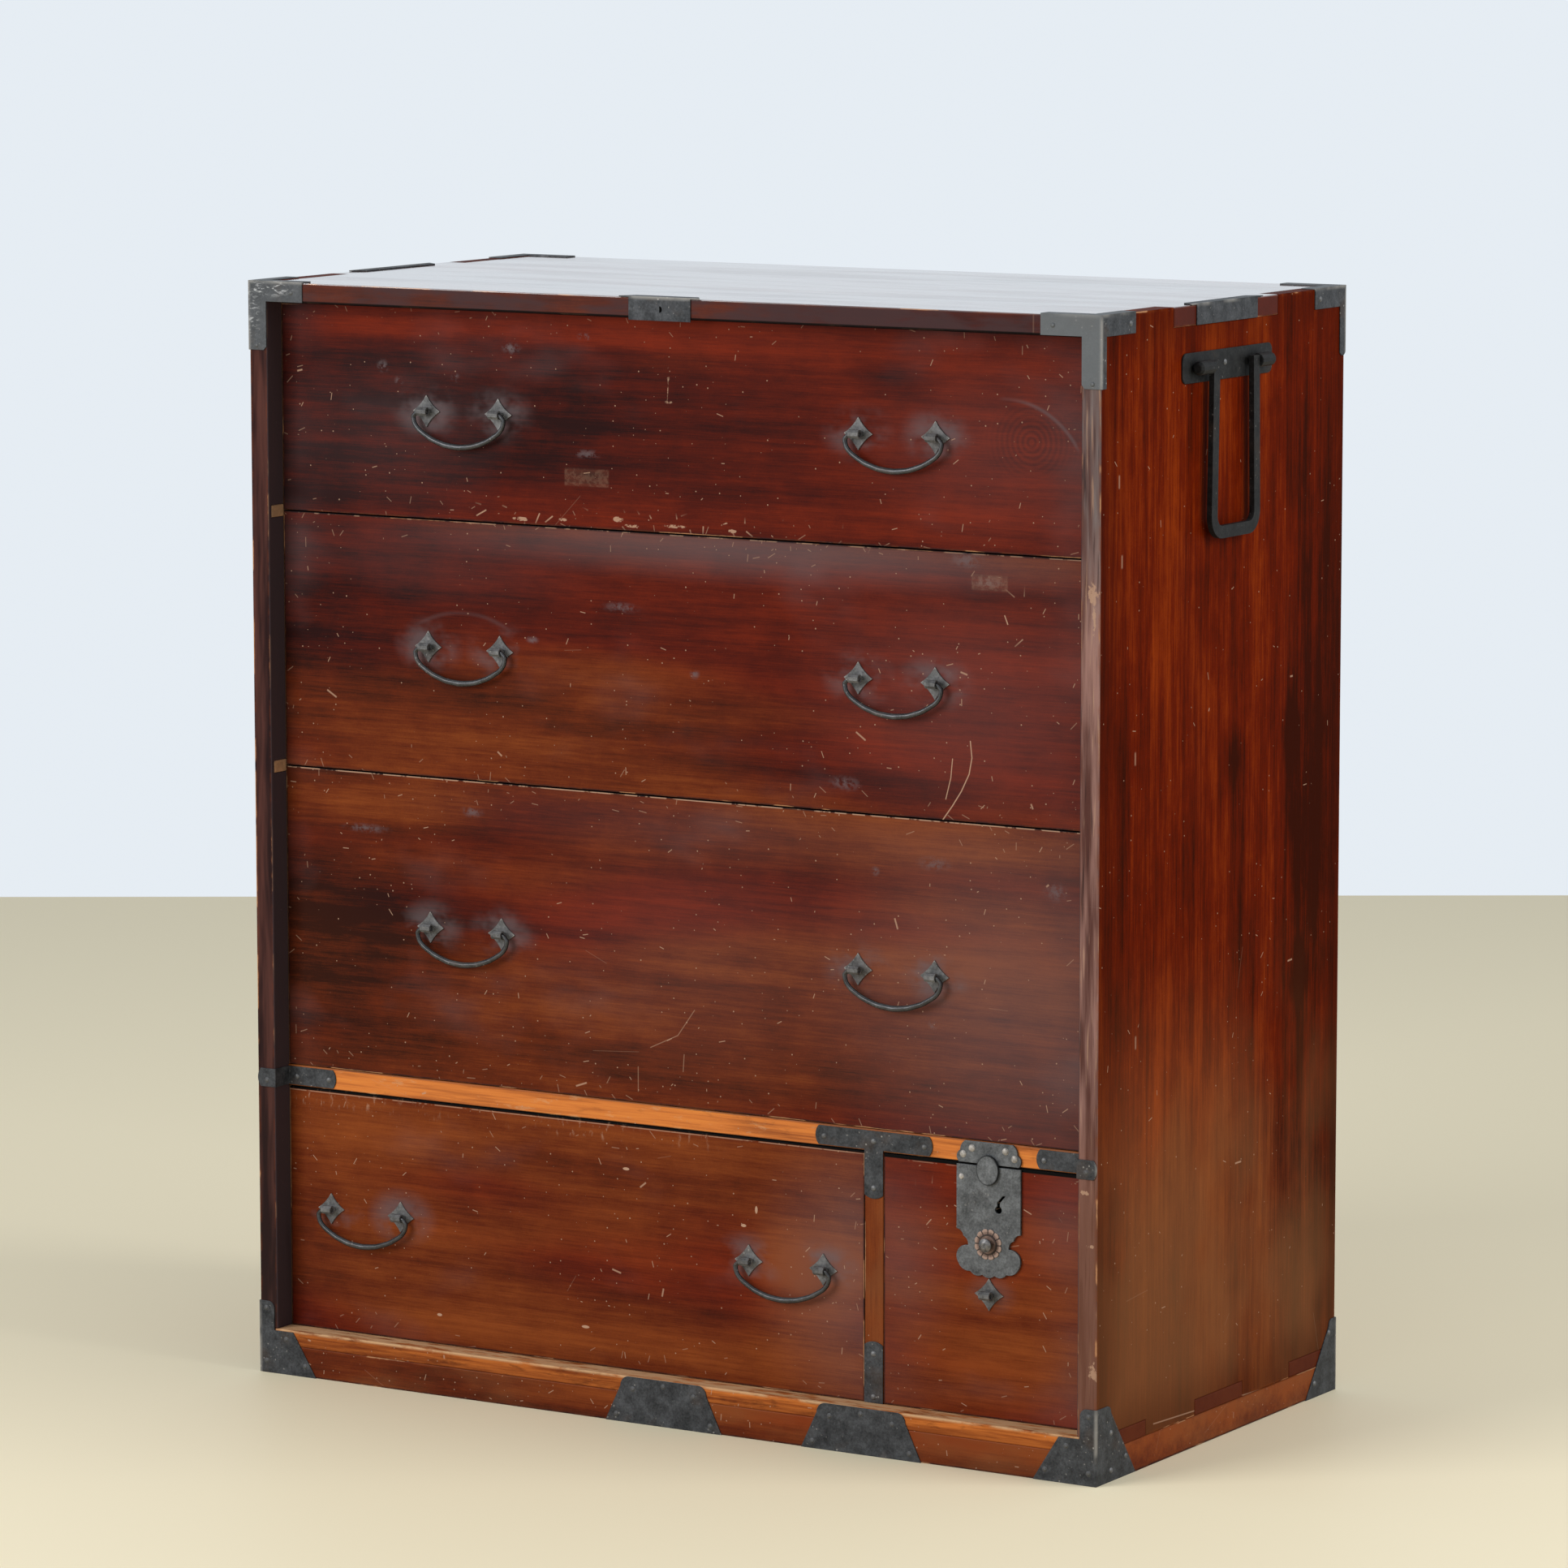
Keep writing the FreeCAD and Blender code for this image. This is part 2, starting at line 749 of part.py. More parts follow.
def top_corner_irons():
    corners = [top_front_corner(), top_back_corner()]
    return Part.makeCompound(corners + [mirrored(corner) for corner in corners])


def pointed_flange(place, start, end, edge, depth):
    """A flange whose ends run out to points along the edge that it is folded over."""
    face = outline(place, (start - strap_point, edge), (end + strap_point, edge),
                   (end, edge + depth), (start, edge + depth))
    return face.extrude(Vec(0, 0, iron_thickness))


def top_lock_plate():
    """The folded plate at the middle of the top's front edge, with its small half-moon hole."""
    half = top_plate_width / 2
    front = iron_box(-half, half, iron_front_y, front_y, iron_top_z, case_height - top_plate_drop)
    flange = pointed_flange(on_top(case_height), -half, half, iron_front_y, top_plate_flange)
    hole_z = case_height - top_plate_drop / 2
    r = half_moon_radius
    hole = outline(on_front(iron_front_y), (0, hole_z - r), (0, hole_z + r, r))
    return joined(front, flange).cut(hole.extrude(Vec(0, iron_thickness, 0)))


def top_edge_straps():
    """A strap folded over the top edge of each side, across the top's tongue."""
    half = edge_strap_length / 2
    side = iron_box(side_x, iron_side_x, -half, half, ceiling_z, iron_top_z)
    flange = pointed_flange(along_top_edge, -half, half, iron_side_x, -corner_flange)
    return pair(joined(side, flange))


def strap_levels():
    middle = (rail_top + rail_bottom) / 2
    return middle - rail_strap_height / 2, middle + rail_strap_height / 2


def rail_strap_right():
    """A strap from the rail, over the cheek and round the front edge of the side."""
    low, high = strap_levels()
    tail_end = inner_x - rail_strap_reach + strap_nib
    head_end = side_x - strap_nib
    cheek_x = inner_x - iron_thickness
    tail = outline(on_front(face_y), (tail_end, low, strap_nib), (inner_x, low), (inner_x, high),
                   (tail_end, high))
    cheek = iron_box(cheek_x, inner_x, iron_front_y, face_y, low, high)
    head = outline(on_front(front_y), (cheek_x, low), (head_end, low), (head_end, high, strap_nib),
                   (cheek_x, high))
    out = Vec(0, -iron_thickness, 0)
    return joined(tail.extrude(out), cheek, head.extrude(out))


def tee_strap():
    """The strap that ties the divider post to the rail, with nibbed round ends."""
    low, high = strap_levels()
    arm = tee_width / 2 - strap_nib
    leg = post_width / 2
    foot = rail_bottom - tee_leg_drop + strap_nib
    half = [(leg, foot, strap_nib), (leg, low, 0), (arm, low, 0), (arm, high, strap_nib)]
    return symmetric(on_front(face_y), post_offset, half).extrude(Vec(0, -iron_thickness, 0))


def divider_foot_strap():
    top = floor_z + foot_strap_height - strap_nib
    face = outline(on_front(face_y), (post_left, floor_z), (post_right, floor_z), (post_right, top),
                   (post_left, top, strap_nib))
    return face.extrude(Vec(0, -iron_thickness, 0))


def base_plate(x):
    """A plate over the plinth's front with sloping ends and round shoulders."""
    shoulder = base_plate_top_width / 2
    r = base_plate_corner
    half = [(base_plate_width / 2, 0, 0), (shoulder + r, floor_z - r, 0),
            (shoulder, floor_z, r * quarter_rise)]
    return symmetric(on_front(front_y), x, half).extrude(Vec(0, -iron_thickness, 0))


def base_plates():
    return Part.makeCompound([base_plate(0), base_plate(post_offset)])


def base_front_wing():
    """The front face of a base corner iron: a foot that slopes in to a shoulder, and a leg above."""
    shoulder_z = floor_z - base_corner_shoulder_drop
    top = base_corner_height
    leg = side_x - base_corner_leg
    r = base_corner_round
    return outline(
        on_front(front_y), (iron_side_x, 0), (iron_side_x, top), (leg + r, top),
        (leg, top - r, r * quarter_rise), (leg, shoulder_z), (side_x - base_corner_shoulder, shoulder_z),
        (side_x - base_corner_reach, 0))


def base_wing(place, edge, inward, reach, crest):
    """A face of a base corner iron that slopes straight in from the floor to a round crest."""
    fold = edge + inward * iron_thickness
    top = base_corner_height
    r = base_corner_round
    return outline(
        place, (edge, 0), (fold + inward * reach, 0), (fold + inward * crest, top - r),
        (fold + inward * (crest - r), top, inward * r * quarter_rise), (edge, top))


def base_front_corner():
    side = base_wing(on_side(side_x), iron_front_y, 1, base_corner_side_reach, base_corner_side_crest)
    front = base_front_wing().extrude(Vec(0, -iron_thickness, 0))
    return joined(front, side.extrude(Vec(iron_thickness, 0, 0)))


def base_back_corner():
    reach, crest = base_corner_back_reach, base_corner_back_crest
    side = base_wing(on_side(side_x), back_y + iron_thickness, -1, reach, crest)
    back = base_wing(on_front(back_y), iron_side_x, -1, reach, crest)
    return joined(side.extrude(Vec(iron_thickness, 0, 0)), back.extrude(Vec(0, iron_thickness, 0)))


def base_corner_irons():
    corners = [base_front_corner(), base_back_corner()]
    return Part.makeCompound(corners + [mirrored(corner) for corner in corners])


# Lock

def strike_plate():
    """The plate on the rail above the small drawer: two round lobes and a raised middle."""
    low = rail_bottom + iron_clearance
    high = rail_top - iron_clearance
    half = [(strike_foot_width / 2, low, 0),
            (strike_notch_width / 2, low + strike_lobe_height, strike_lobe_rise),
            (strike_top_width / 2, high, strike_shoulder_rise)]
    return symmetric(on_front(face_y), lock_x, half).extrude(Vec(0, -strike_thickness, 0))


def lock_outline():
    """Straight above, drawn in to a waist, then a cloud of scallops round the foot."""
    half = lock_plate_width / 2
    scallops = []
    for i in range(scallops_per_side):
        level = scallop_rise - lock_plate_length + scallop_sag * (i / (scallops_per_side - 1)) ** 2
        scallops.append(((i + 0.5) * scallop_width, level, scallop_rise))
    sides = [(lock_neck_width / 2, lobe_height - lock_plate_length, lobe_rise),
             (lock_waist_width / 2, -lock_straight - lock_waist_drop, -lock_cove),
             (half, -lock_straight, -lock_cove), (half, 0, 0)]
    return symmetric(on_lock, 0, scallops + sides)


def keyhole():
    """A slot that rises from a round hole, then leans, cut right through."""
    x = lock_x + keyhole_offset
    z = lock_top - keyhole_drop
    half = keyhole_slot / 2
    lean = x + keyhole_lean
    kink = z + keyhole_kink
    high = z + keyhole_rise
    front = face_y - lock_plate_thickness
    depth = lock_plate_thickness + front_thickness
    slot = outline(on_front(front), (x - half, z), (x + half, z), (x + half, kink),
                   (lean + half, high), (lean - half, high), (x - half, kink))
    return joined(slot.extrude(Vec(0, depth, 0)), cylinder((x, front, z), (0, 1, 0), keyhole_radius, depth))


def slide_slot():
    """The slot that the thumb slide's stem runs in."""
    half = slide_stem_width / 2 + slide_gap
    high = lock_top - slide_stem_drop + slide_stem_height / 2 + slide_gap
    low = high - slide_stem_height - slide_travel - 2 * slide_gap
    return box(lock_x - half, lock_x + half, face_y - lock_plate_thickness, board_back_y, low, high)


def button_hole(radius):
    start = (lock_x, face_y - lock_plate_thickness - rosette_thickness, lock_top - rosette_drop)
    return cylinder(start, (0, 1, 0), radius, rosette_thickness + lock_plate_thickness + front_thickness)


def lock_holes():
    return [keyhole(), slide_slot(), button_hole(button_stem_radius + button_stem_gap)]


def lock_plate():
    plate = lock_outline().extrude(Vec(0, -lock_plate_thickness, 0))
    return plate.cut(Part.makeCompound(lock_holes()))


def lock_rosette():
    """A flower of round petals about the button, stepped up to a collar."""
    y = face_y - lock_plate_thickness
    z = lock_top - rosette_drop
    reach = rosette_radius - rosette_petal_rise
    knots = []
    for i in range(rosette_petals):
        angle = 2 * math.pi * i / rosette_petals
        knots.append((lock_x + reach * math.cos(angle), z + reach * math.sin(angle), rosette_petal_rise))
    petals = outline(on_front(y), *knots).extrude(Vec(0, -rosette_thickness / 2, 0))
    collar = cylinder((lock_x, y, z), (0, -1, 0), rosette_collar_radius, rosette_thickness)
    return joined(collar, petals).cut(button_hole(button_stem_radius + button_stem_gap))


def lock_button():
    """The push button with its coned head, turned in one with its stem."""
    neck_y = face_y - lock_plate_thickness - rosette_thickness - button_neck
    stem_y = board_back_y + lock_case_wall
    crown_y = neck_y - button_dome
    profile = outline(on_turning_plane, (0, stem_y), (0, crown_y), (button_crown_radius, crown_y),
                      (button_radius, neck_y - button_rim), (button_radius, neck_y),
                      (button_stem_radius, neck_y), (button_stem_radius, stem_y))
    return profile.revolve(on_turning_plane(0, 0), Vec(0, 1, 0), 360)


def lock_slide():
    """The oval thumb piece in front of both plates, on a stem through the board."""
    y = face_y - lock_plate_thickness - slide_gap
    centre = Vec(lock_x, y, lock_top + slide_overhang - slide_height / 2)
    end = centre + Vec(0, 0, slide_height / 2)
    side = centre + Vec(slide_width / 2, 0, 0)
    rim = Part.Wire([Part.Ellipse(end, side, centre).toShape()])
    oval = Part.Face(rim).extrude(Vec(0, -slide_thickness, 0))
    half = slide_stem_width / 2
    high = lock_top - slide_stem_drop + slide_stem_height / 2
    stem = box(lock_x - half, lock_x + half, y, board_back_y + lock_case_wall,
               high - slide_stem_height, high)
    return joined(oval, stem)


def lock_case():
    """The sheet-iron box behind the board that holds the bolt, open towards the board."""
    half = lock_case_width / 2
    wall = lock_case_wall
    high = lock_top - lock_case_drop
    low = high - lock_case_height
    back = board_back_y + lock_case_depth
    shell = box(lock_x - half, lock_x + half, board_back_y, back, low, high)
    hollow = box(lock_x - half + wall, lock_x + half - wall, board_back_y, back - wall,
                 low + wall, high - wall)
    mouth = bolt_shape(iron_clearance, lock_case_height)
    return shell.cut(Part.makeCompound([hollow, mouth]))


def bolt_shape(gap, rise):
    """The bolt where it rests withdrawn, or with a gap and a rise the mouth that it shoots through."""
    half = bolt_width / 2 + gap
    back = board_back_y + lock_case_depth - lock_case_wall
    high = lock_top - lock_case_drop - bolt_withdrawn
    return box(lock_x - half, lock_x + half, back - bolt_thickness - gap, back,
               high - bolt_length, high + rise)


def lock_bolt():
    return bolt_shape(0, 0)


# Assembly

def placed_bail(x, z):
    shape = bail()
    shape.translate(Vec(x, pull_axis_y, z))
    return shape


def case_parts():
    side = side_panel_right()
    handle = handle_bail()
    handle.translate(Vec(side_x + handle_standoff, 0, handle_z))
    return {
        "top_panel": top_panel(),
        "side_panel_right": side,
        "side_panel_left": mirrored(side),
        "bottom_panel": bottom_panel(),
        "back_boards": back_boards(),
        "plinth_rails": plinth_rails(),
        "shelf_upper": front_shelf(upper_shelf_z),
        "shelf_middle": front_shelf(middle_shelf_z),
        "shelf_lower": shelf_lower(),
        "middle_rail": rail_body(),
        "divider_post": divider_post(),
        "partition_board": partition_board(),
        "top_corner_irons": top_corner_irons(),
        "top_lock_plate": top_lock_plate(),
        "top_edge_straps": top_edge_straps(),
        "rail_straps": pair(rail_strap_right()),
        "tee_strap": tee_strap(),
        "divider_foot_strap": divider_foot_strap(),
        "base_plates": base_plates(),
        "base_corner_irons": base_corner_irons(),
        "strike_plate": strike_plate(),
        "side_handle_plates": handle_plates(),
        "side_handle_posts": handle_posts(),
        "side_handle_right": handle,
        "side_handle_left": mirrored(handle),
    }


def drawer_parts(bay):
    holes = [pin_hole(x, z, shank_gap) for x, z in pin_places(bay)]
    if bay.name == "drawer_5":
        holes += lock_holes()
    parts = {
        bay.name + "_front": drawer_front(bay, holes),
        bay.name + "_walls": drawer_walls(bay),
        bay.name + "_bottom": drawer_bottom(bay),
        bay.name + "_pull_mounts": pull_mounts(bay),
    }
    if bay.name != "drawer_5":
        for word, x in zip(("left", "right"), pull_places(bay)):
            parts[bay.name + "_bail_" + word] = placed_bail(x, bay.pull_z)
    return parts


def lock_parts():
    return {
        "lock_plate": lock_plate(),
        "lock_rosette": lock_rosette(),
        "lock_button": lock_button(),
        "lock_slide": lock_slide(),
        "lock_case": lock_case(),
        "lock_bolt": lock_bolt(),
    }


def all_parts():
    parts = case_parts()
    for bay in bays():
        parts.update(drawer_parts(bay))
    parts.update(lock_parts())
    return parts


def main():
    os.makedirs("parts", exist_ok=True)
    for name, shape in all_parts().items():
        shape.exportStep("parts/" + name + ".step")
        print(name, len(shape.Solids), "solids, valid:", shape.isValid())


if __name__ == "__main__":
    main()
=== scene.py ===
"""The looks of a lacquered tansu chest: worn lacquer over straight grain, blackened forged iron,
a brass rosette, and the pale studio that it stands in.

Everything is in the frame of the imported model: +Z up, the drawers face -Y. Places and sizes are in
metres, and the marks on a surface are in millimetres.
"""

import math
from functools import reduce

import bmesh
import bpy
from bpy.props import FloatProperty, FloatVectorProperty, PointerProperty
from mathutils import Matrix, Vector


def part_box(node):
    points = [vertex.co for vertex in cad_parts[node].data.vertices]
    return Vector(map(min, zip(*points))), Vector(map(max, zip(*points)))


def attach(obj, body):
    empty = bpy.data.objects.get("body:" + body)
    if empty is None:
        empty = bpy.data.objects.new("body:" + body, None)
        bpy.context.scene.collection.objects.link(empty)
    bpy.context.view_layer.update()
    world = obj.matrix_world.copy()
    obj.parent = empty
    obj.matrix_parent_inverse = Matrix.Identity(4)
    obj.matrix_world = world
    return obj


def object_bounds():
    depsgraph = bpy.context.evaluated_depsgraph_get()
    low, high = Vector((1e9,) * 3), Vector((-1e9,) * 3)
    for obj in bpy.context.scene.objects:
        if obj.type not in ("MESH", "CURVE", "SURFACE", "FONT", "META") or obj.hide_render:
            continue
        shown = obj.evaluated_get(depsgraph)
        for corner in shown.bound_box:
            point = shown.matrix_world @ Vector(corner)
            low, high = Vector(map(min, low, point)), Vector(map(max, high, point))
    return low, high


bl_info = {
    "name": "Tansu Chest Looks",
    "version": (1, 0, 0),
    "blender": (4, 5, 0),
    "location": "View3D > Sidebar > Chest",
    "description": "Finishes, nails and stage for a lacquered chest with forged iron fittings",
    "category": "Object",
}

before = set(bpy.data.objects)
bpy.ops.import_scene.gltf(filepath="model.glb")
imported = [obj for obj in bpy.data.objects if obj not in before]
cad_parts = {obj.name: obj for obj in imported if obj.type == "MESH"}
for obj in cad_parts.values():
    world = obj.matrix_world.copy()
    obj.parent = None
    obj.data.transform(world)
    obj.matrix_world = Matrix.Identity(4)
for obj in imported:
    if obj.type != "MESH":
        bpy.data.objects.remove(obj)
cad_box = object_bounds()

MM = 0.001
DRAWERS = ("drawer_1", "drawer_2", "drawer_3", "drawer_4", "drawer_5")
WIDE_DRAWERS = DRAWERS[:4]

CASE_LOW, CASE_HIGH = (Vector(corner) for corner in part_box("side_panel_right"))
CASE_LOW.x = -CASE_HIGH.x
INNER_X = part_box("side_panel_right")[0][0]
(_, FACE_Y, _), (CHEEK_X, BOARD_BACK_Y, _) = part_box("drawer_1_front")
FLOOR_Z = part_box("bottom_panel")[1][2]
POST_STAND = 0.0118  # of the side handles' posts past the corner irons

BOARD_SHINE = {"Coat_Weight": 0.03, "Coat_Roughness": 0.25, "Specular_IOR_Level": 0.03}
IRON_SHINE = {"Metallic": 0.3, "Specular_IOR_Level": 0.06}


# Properties

def colour(name, description, default):
    return FloatVectorProperty(name=name, description=description, subtype="COLOR", size=3,
                               min=0.0, max=1.0, default=default)


def length(name, description, default):
    return FloatProperty(name=name, description=description, subtype="DISTANCE", unit="LENGTH",
                         min=0.0, default=default)


def share(name, description, default):
    return FloatProperty(name=name, description=description, subtype="FACTOR", min=0.0, max=1.0,
                         default=default)


def power(name, description, default):
    return FloatProperty(name=name, description=description, subtype="POWER", unit="POWER",
                         min=0.0, default=default)


def turn(name, description, degrees):
    return FloatProperty(name=name, description=description, subtype="ANGLE", unit="ROTATION",
                         default=math.radians(degrees))


class ChestLooks(bpy.types.PropertyGroup):
    """Colours and sizes of the chest's finishes"""

    cherry_dark: colour("Dark cherry", "Darkest streaks of the red lacquer", (0.018, 0.0045, 0.0042))
    cherry: colour("Cherry", "Middle tone of the red lacquer", (0.07, 0.0082, 0.0042))
    cherry_bright: colour("Bright cherry", "Lightest streaks of red lacquer", (0.165, 0.0175, 0.0052))
    amber_dark: colour("Dark amber", "Darkest streaks of the brown lacquer", (0.03, 0.0075, 0.0038))
    amber: colour("Amber", "Middle tone of the brown lacquer", (0.105, 0.0185, 0.0055))
    amber_bright: colour("Bright amber", "Lightest streaks of the brown lacquer", (0.215, 0.05, 0.011))
    flame_dark: colour("Dark flame", "Darkest streaks of the sides' lacquer", (0.03, 0.004, 0.001))
    flame: colour("Flame", "Middle tone of the sides' lacquer", (0.1, 0.008, 0.001))
    flame_bright: colour("Bright flame", "Lightest streaks of the sides", (0.245, 0.034, 0.003))
    cheek_red: colour("Front edge red", "Lacquer left on the front edges", (0.085, 0.036, 0.03))
    cheek_worn: colour("Front edge worn", "Rubbed wood of the front edges", (0.3, 0.165, 0.14))
    cheek_grey: colour("Front edge grey", "Grime on the front edges near the top", (0.21, 0.18, 0.175))
    tongue: colour("Tongue", "End grain of the joints at the case's corners", (0.06, 0.009, 0.0035))
    cheek_low: colour("Front edge low", "Brown of the front edges near the foot", (0.13, 0.054, 0.034))
    ledge: colour("Ledge", "Bare wood in front of the drawers", (0.55, 0.34, 0.18))
    rail_bright: colour("Bright rail", "Lightest streaks of the rail", (0.7, 0.235, 0.042))
    # A dark colour for painted shade on the sides' inner faces, the fronts' seams and top faces, and
    # the plinth's foot; also the dark of cracks and of the left side's front edge.
    reveal: colour("Reveal", "Shaded inner faces in front of the drawers", (0.016, 0.011, 0.012))
    top_edge: colour("Worn top edge", "Front edge of the top", (0.052, 0.027, 0.028))
    dust: colour("Dust", "Warm haze low on the case", (0.19, 0.08, 0.032))
    # Partly a painted reflection: this pale haze stands in for the pale wall reflected in the top, over
    # real bloom.
    top_haze_and_reflection: colour("Top haze", "Bloom on the top", (0.25, 0.22, 0.225))
    bloom: colour("Bloom", "Grey haze that age leaves on the lacquer", (0.13, 0.1, 0.105))
    chip: colour("Chip", "Nicks and scratches in the lacquer", (0.44, 0.27, 0.18))
    bare_wood: colour("Bare wood", "Chipped and worn edges", (0.42, 0.205, 0.1))
    rail_wood: colour("Rail wood", "The rail whose lacquer has gone", (0.56, 0.165, 0.032))
    inner_wood: colour("Inner wood", "Boards inside the case and the drawers", (0.36, 0.19, 0.09))
    iron: colour("Iron", "Blackened iron of the case fittings", (0.047, 0.049, 0.053))
    plate_iron: colour("Plate iron", "Greyer iron of the lock and its strike", (0.102, 0.106, 0.111))
    mount_iron: colour("Mount iron", "Diamond plates and eyes of the pulls", (0.118, 0.116, 0.116))
    handle_iron: colour("Handle iron", "Carrying handles and their plates", (0.017, 0.017, 0.017))
    nail: colour("Nail", "Nail heads", (0.125, 0.125, 0.127))
    nail_worn: colour("Worn nail", "Nail heads of the strike and the lock", (0.34, 0.315, 0.29))
    bail_iron: colour("Bail iron", "Handled iron of the bails", (0.038, 0.039, 0.041))
    # Real rubbed iron, and also a painted highlight on the edges of the pull plates.
    iron_worn_and_glint: colour("Worn iron", "Rubbed edges and specks of the iron", (0.3, 0.285, 0.265))
    iron_grey: colour("Grey iron", "Fronts of the top corner irons", (0.135, 0.142, 0.147))
    smear: colour("Smear", "Pale scratches on the top left corner iron", (0.5, 0.5, 0.5))
    # Near black for painted shade in the keyholes, in the gaps under the top, the rail and the fronts'
    # top edges, and on the slide's rim; also the dark lines of the rosette.
    hole: colour("Hole", "Dark inside the keyholes", (0.003, 0.003, 0.003))
    rust: colour("Rust", "Brown patches on the iron", (0.075, 0.05, 0.036))
    brass: colour("Brass", "Rosette of the lock", (0.19, 0.118, 0.092))
    brass_worn: colour("Worn brass", "Tips of the rosette's petals", (0.34, 0.235, 0.19))
    steel: colour("Button steel", "Push button", (0.17, 0.16, 0.155))
    board_edge: length("Board edge", "Rounding of the boards' edges", 0.0009)
    iron_edge: length("Iron edge", "Rounding of the sheet iron's edges", 0.0003)
    bail_fill: length("Bail fill", "What smoothing takes from the bails and is given back", 0.00015)
    nail_radius: length("Nail radius", "Radius of the nail heads", 0.0024)
    nail_rise: length("Nail rise", "How far the nail heads stand up", 0.0011)
    gloss: share("Gloss", "Weight of the clear coat on the fronts", 0.03)
    side_gloss: share("Side gloss", "Weight of the clear coat on the sides", 0.01)


class ChestStage(bpy.types.PropertyGroup):
    """Floor, light and camera"""

    floor: colour("Floor", "Colour of the floor", (0.85, 0.755, 0.54))
    wall: colour("Wall", "Colour behind the floor", (0.79, 0.845, 0.9))
    floor_reach: length("Floor reach", "From the middle of the floor to its edges", 2.65)
    camera_place: FloatVectorProperty(name="Camera place", description="Where the camera stands",
                                      subtype="TRANSLATION", unit="LENGTH",
                                      default=(3.0145, -4.9162, 1.2936))
    camera_turn: turn("Camera turn", "Turn of the camera about the vertical", 31.59)
    camera_dip: turn("Camera dip", "How far the camera looks down", 7.83)
    camera_roll: turn("Camera roll", "How far the camera leans to the right", 0.06)
    lens: FloatProperty(name="Lens", description="Focal length in millimetres", default=162.5)
    key_place: FloatVectorProperty(name="Key place", description="Where the right window stands",
                                   subtype="TRANSLATION", unit="LENGTH", default=(3.2, 0.4, 2.2))
    fill_place: FloatVectorProperty(name="Fill place", description="Where the left window stands",
                                    subtype="TRANSLATION", unit="LENGTH", default=(-1.8, -3.4, 2.0))
    key_power: power("Key light", "Power of the window on the right", 75.0)
    fill_power: power("Fill light", "Power of the window on the left", 118.0)
    key_size: length("Key size", "Width of the window on the right", 2.0)
    fill_size: length("Fill size", "Width of the window on the left", 2.4)
    sky: share("Ambient light", "Strength of the light from all round", 0.55)


# Shader expressions

def maths(operation, flipped=False, output=0):
    """A method that joins a wire and its terms by one node, flipped where the wire comes last."""
    def method(self, *terms):
        terms = (*terms, self) if flipped else (self, *terms)
        return self.combine(operation, *terms, output=output)
    return method


class Wire:
    """A node's output that can stand in an arithmetic expression."""

    def __init__(self, tree, socket):
        self.tree = tree
        self.socket = socket

    def other(self, output):
        """Another output of the same node."""
        return Wire(self.tree, self.socket.node.outputs[output])

    def combine(self, operation, *terms, output=0):
        vector = any(isinstance(term, Wire) and term.socket.type != "VALUE" for term in terms)
        node = self.tree.nodes.new("ShaderNodeVectorMath" if vector else "ShaderNodeMath")
        node.operation = operation
        for socket, term in zip(node.inputs, terms):
            if isinstance(term, Wire):
                self.tree.links.new(term.socket, socket)
            elif vector and isinstance(term, (int, float)):
                socket.default_value = (term, term, term)
            else:
                socket.default_value = term
        return Wire(self.tree, node.outputs[output])

    __add__ = maths("ADD")
    __radd__ = maths("ADD", flipped=True)
    __sub__ = maths("SUBTRACT")
    __rsub__ = maths("SUBTRACT", flipped=True)
    __mul__ = maths("MULTIPLY")
    __rmul__ = maths("MULTIPLY", flipped=True)
    __truediv__ = maths("DIVIDE")
    __abs__ = maths("ABSOLUTE")
    least = maths("MINIMUM")
    most = maths("MAXIMUM")
    sine = maths("SINE")
    cosine = maths("COSINE")
    arctan2 = maths("ARCTAN2")
    length = maths("LENGTH", output=1)
    dot = maths("DOT_PRODUCT", output=1)


class Nodes:
    """A node tree being filled."""

    def __init__(self, tree):
        self.tree = tree
        tree.nodes.clear()

    def add(self, kind, settings=None, values=None, output=0):
        """A node of that type. Its settings are made before its sockets are filled."""
        node = self.tree.nodes.new(kind)
        for name, value in (settings or {}).items():
            if name == "stops":
                set_stops(node.color_ramp, value)
            else:
                setattr(node, name, value)
        for name, value in (values or {}).items():
            socket = node.inputs[name]
            if isinstance(value, Wire):
                self.tree.links.new(value.socket, socket)
            elif socket.type == "RGBA":
                socket.default_value = (*value, 1)
            else:
                socket.default_value = value
        return Wire(self.tree, node.outputs[output]) if node.outputs else None


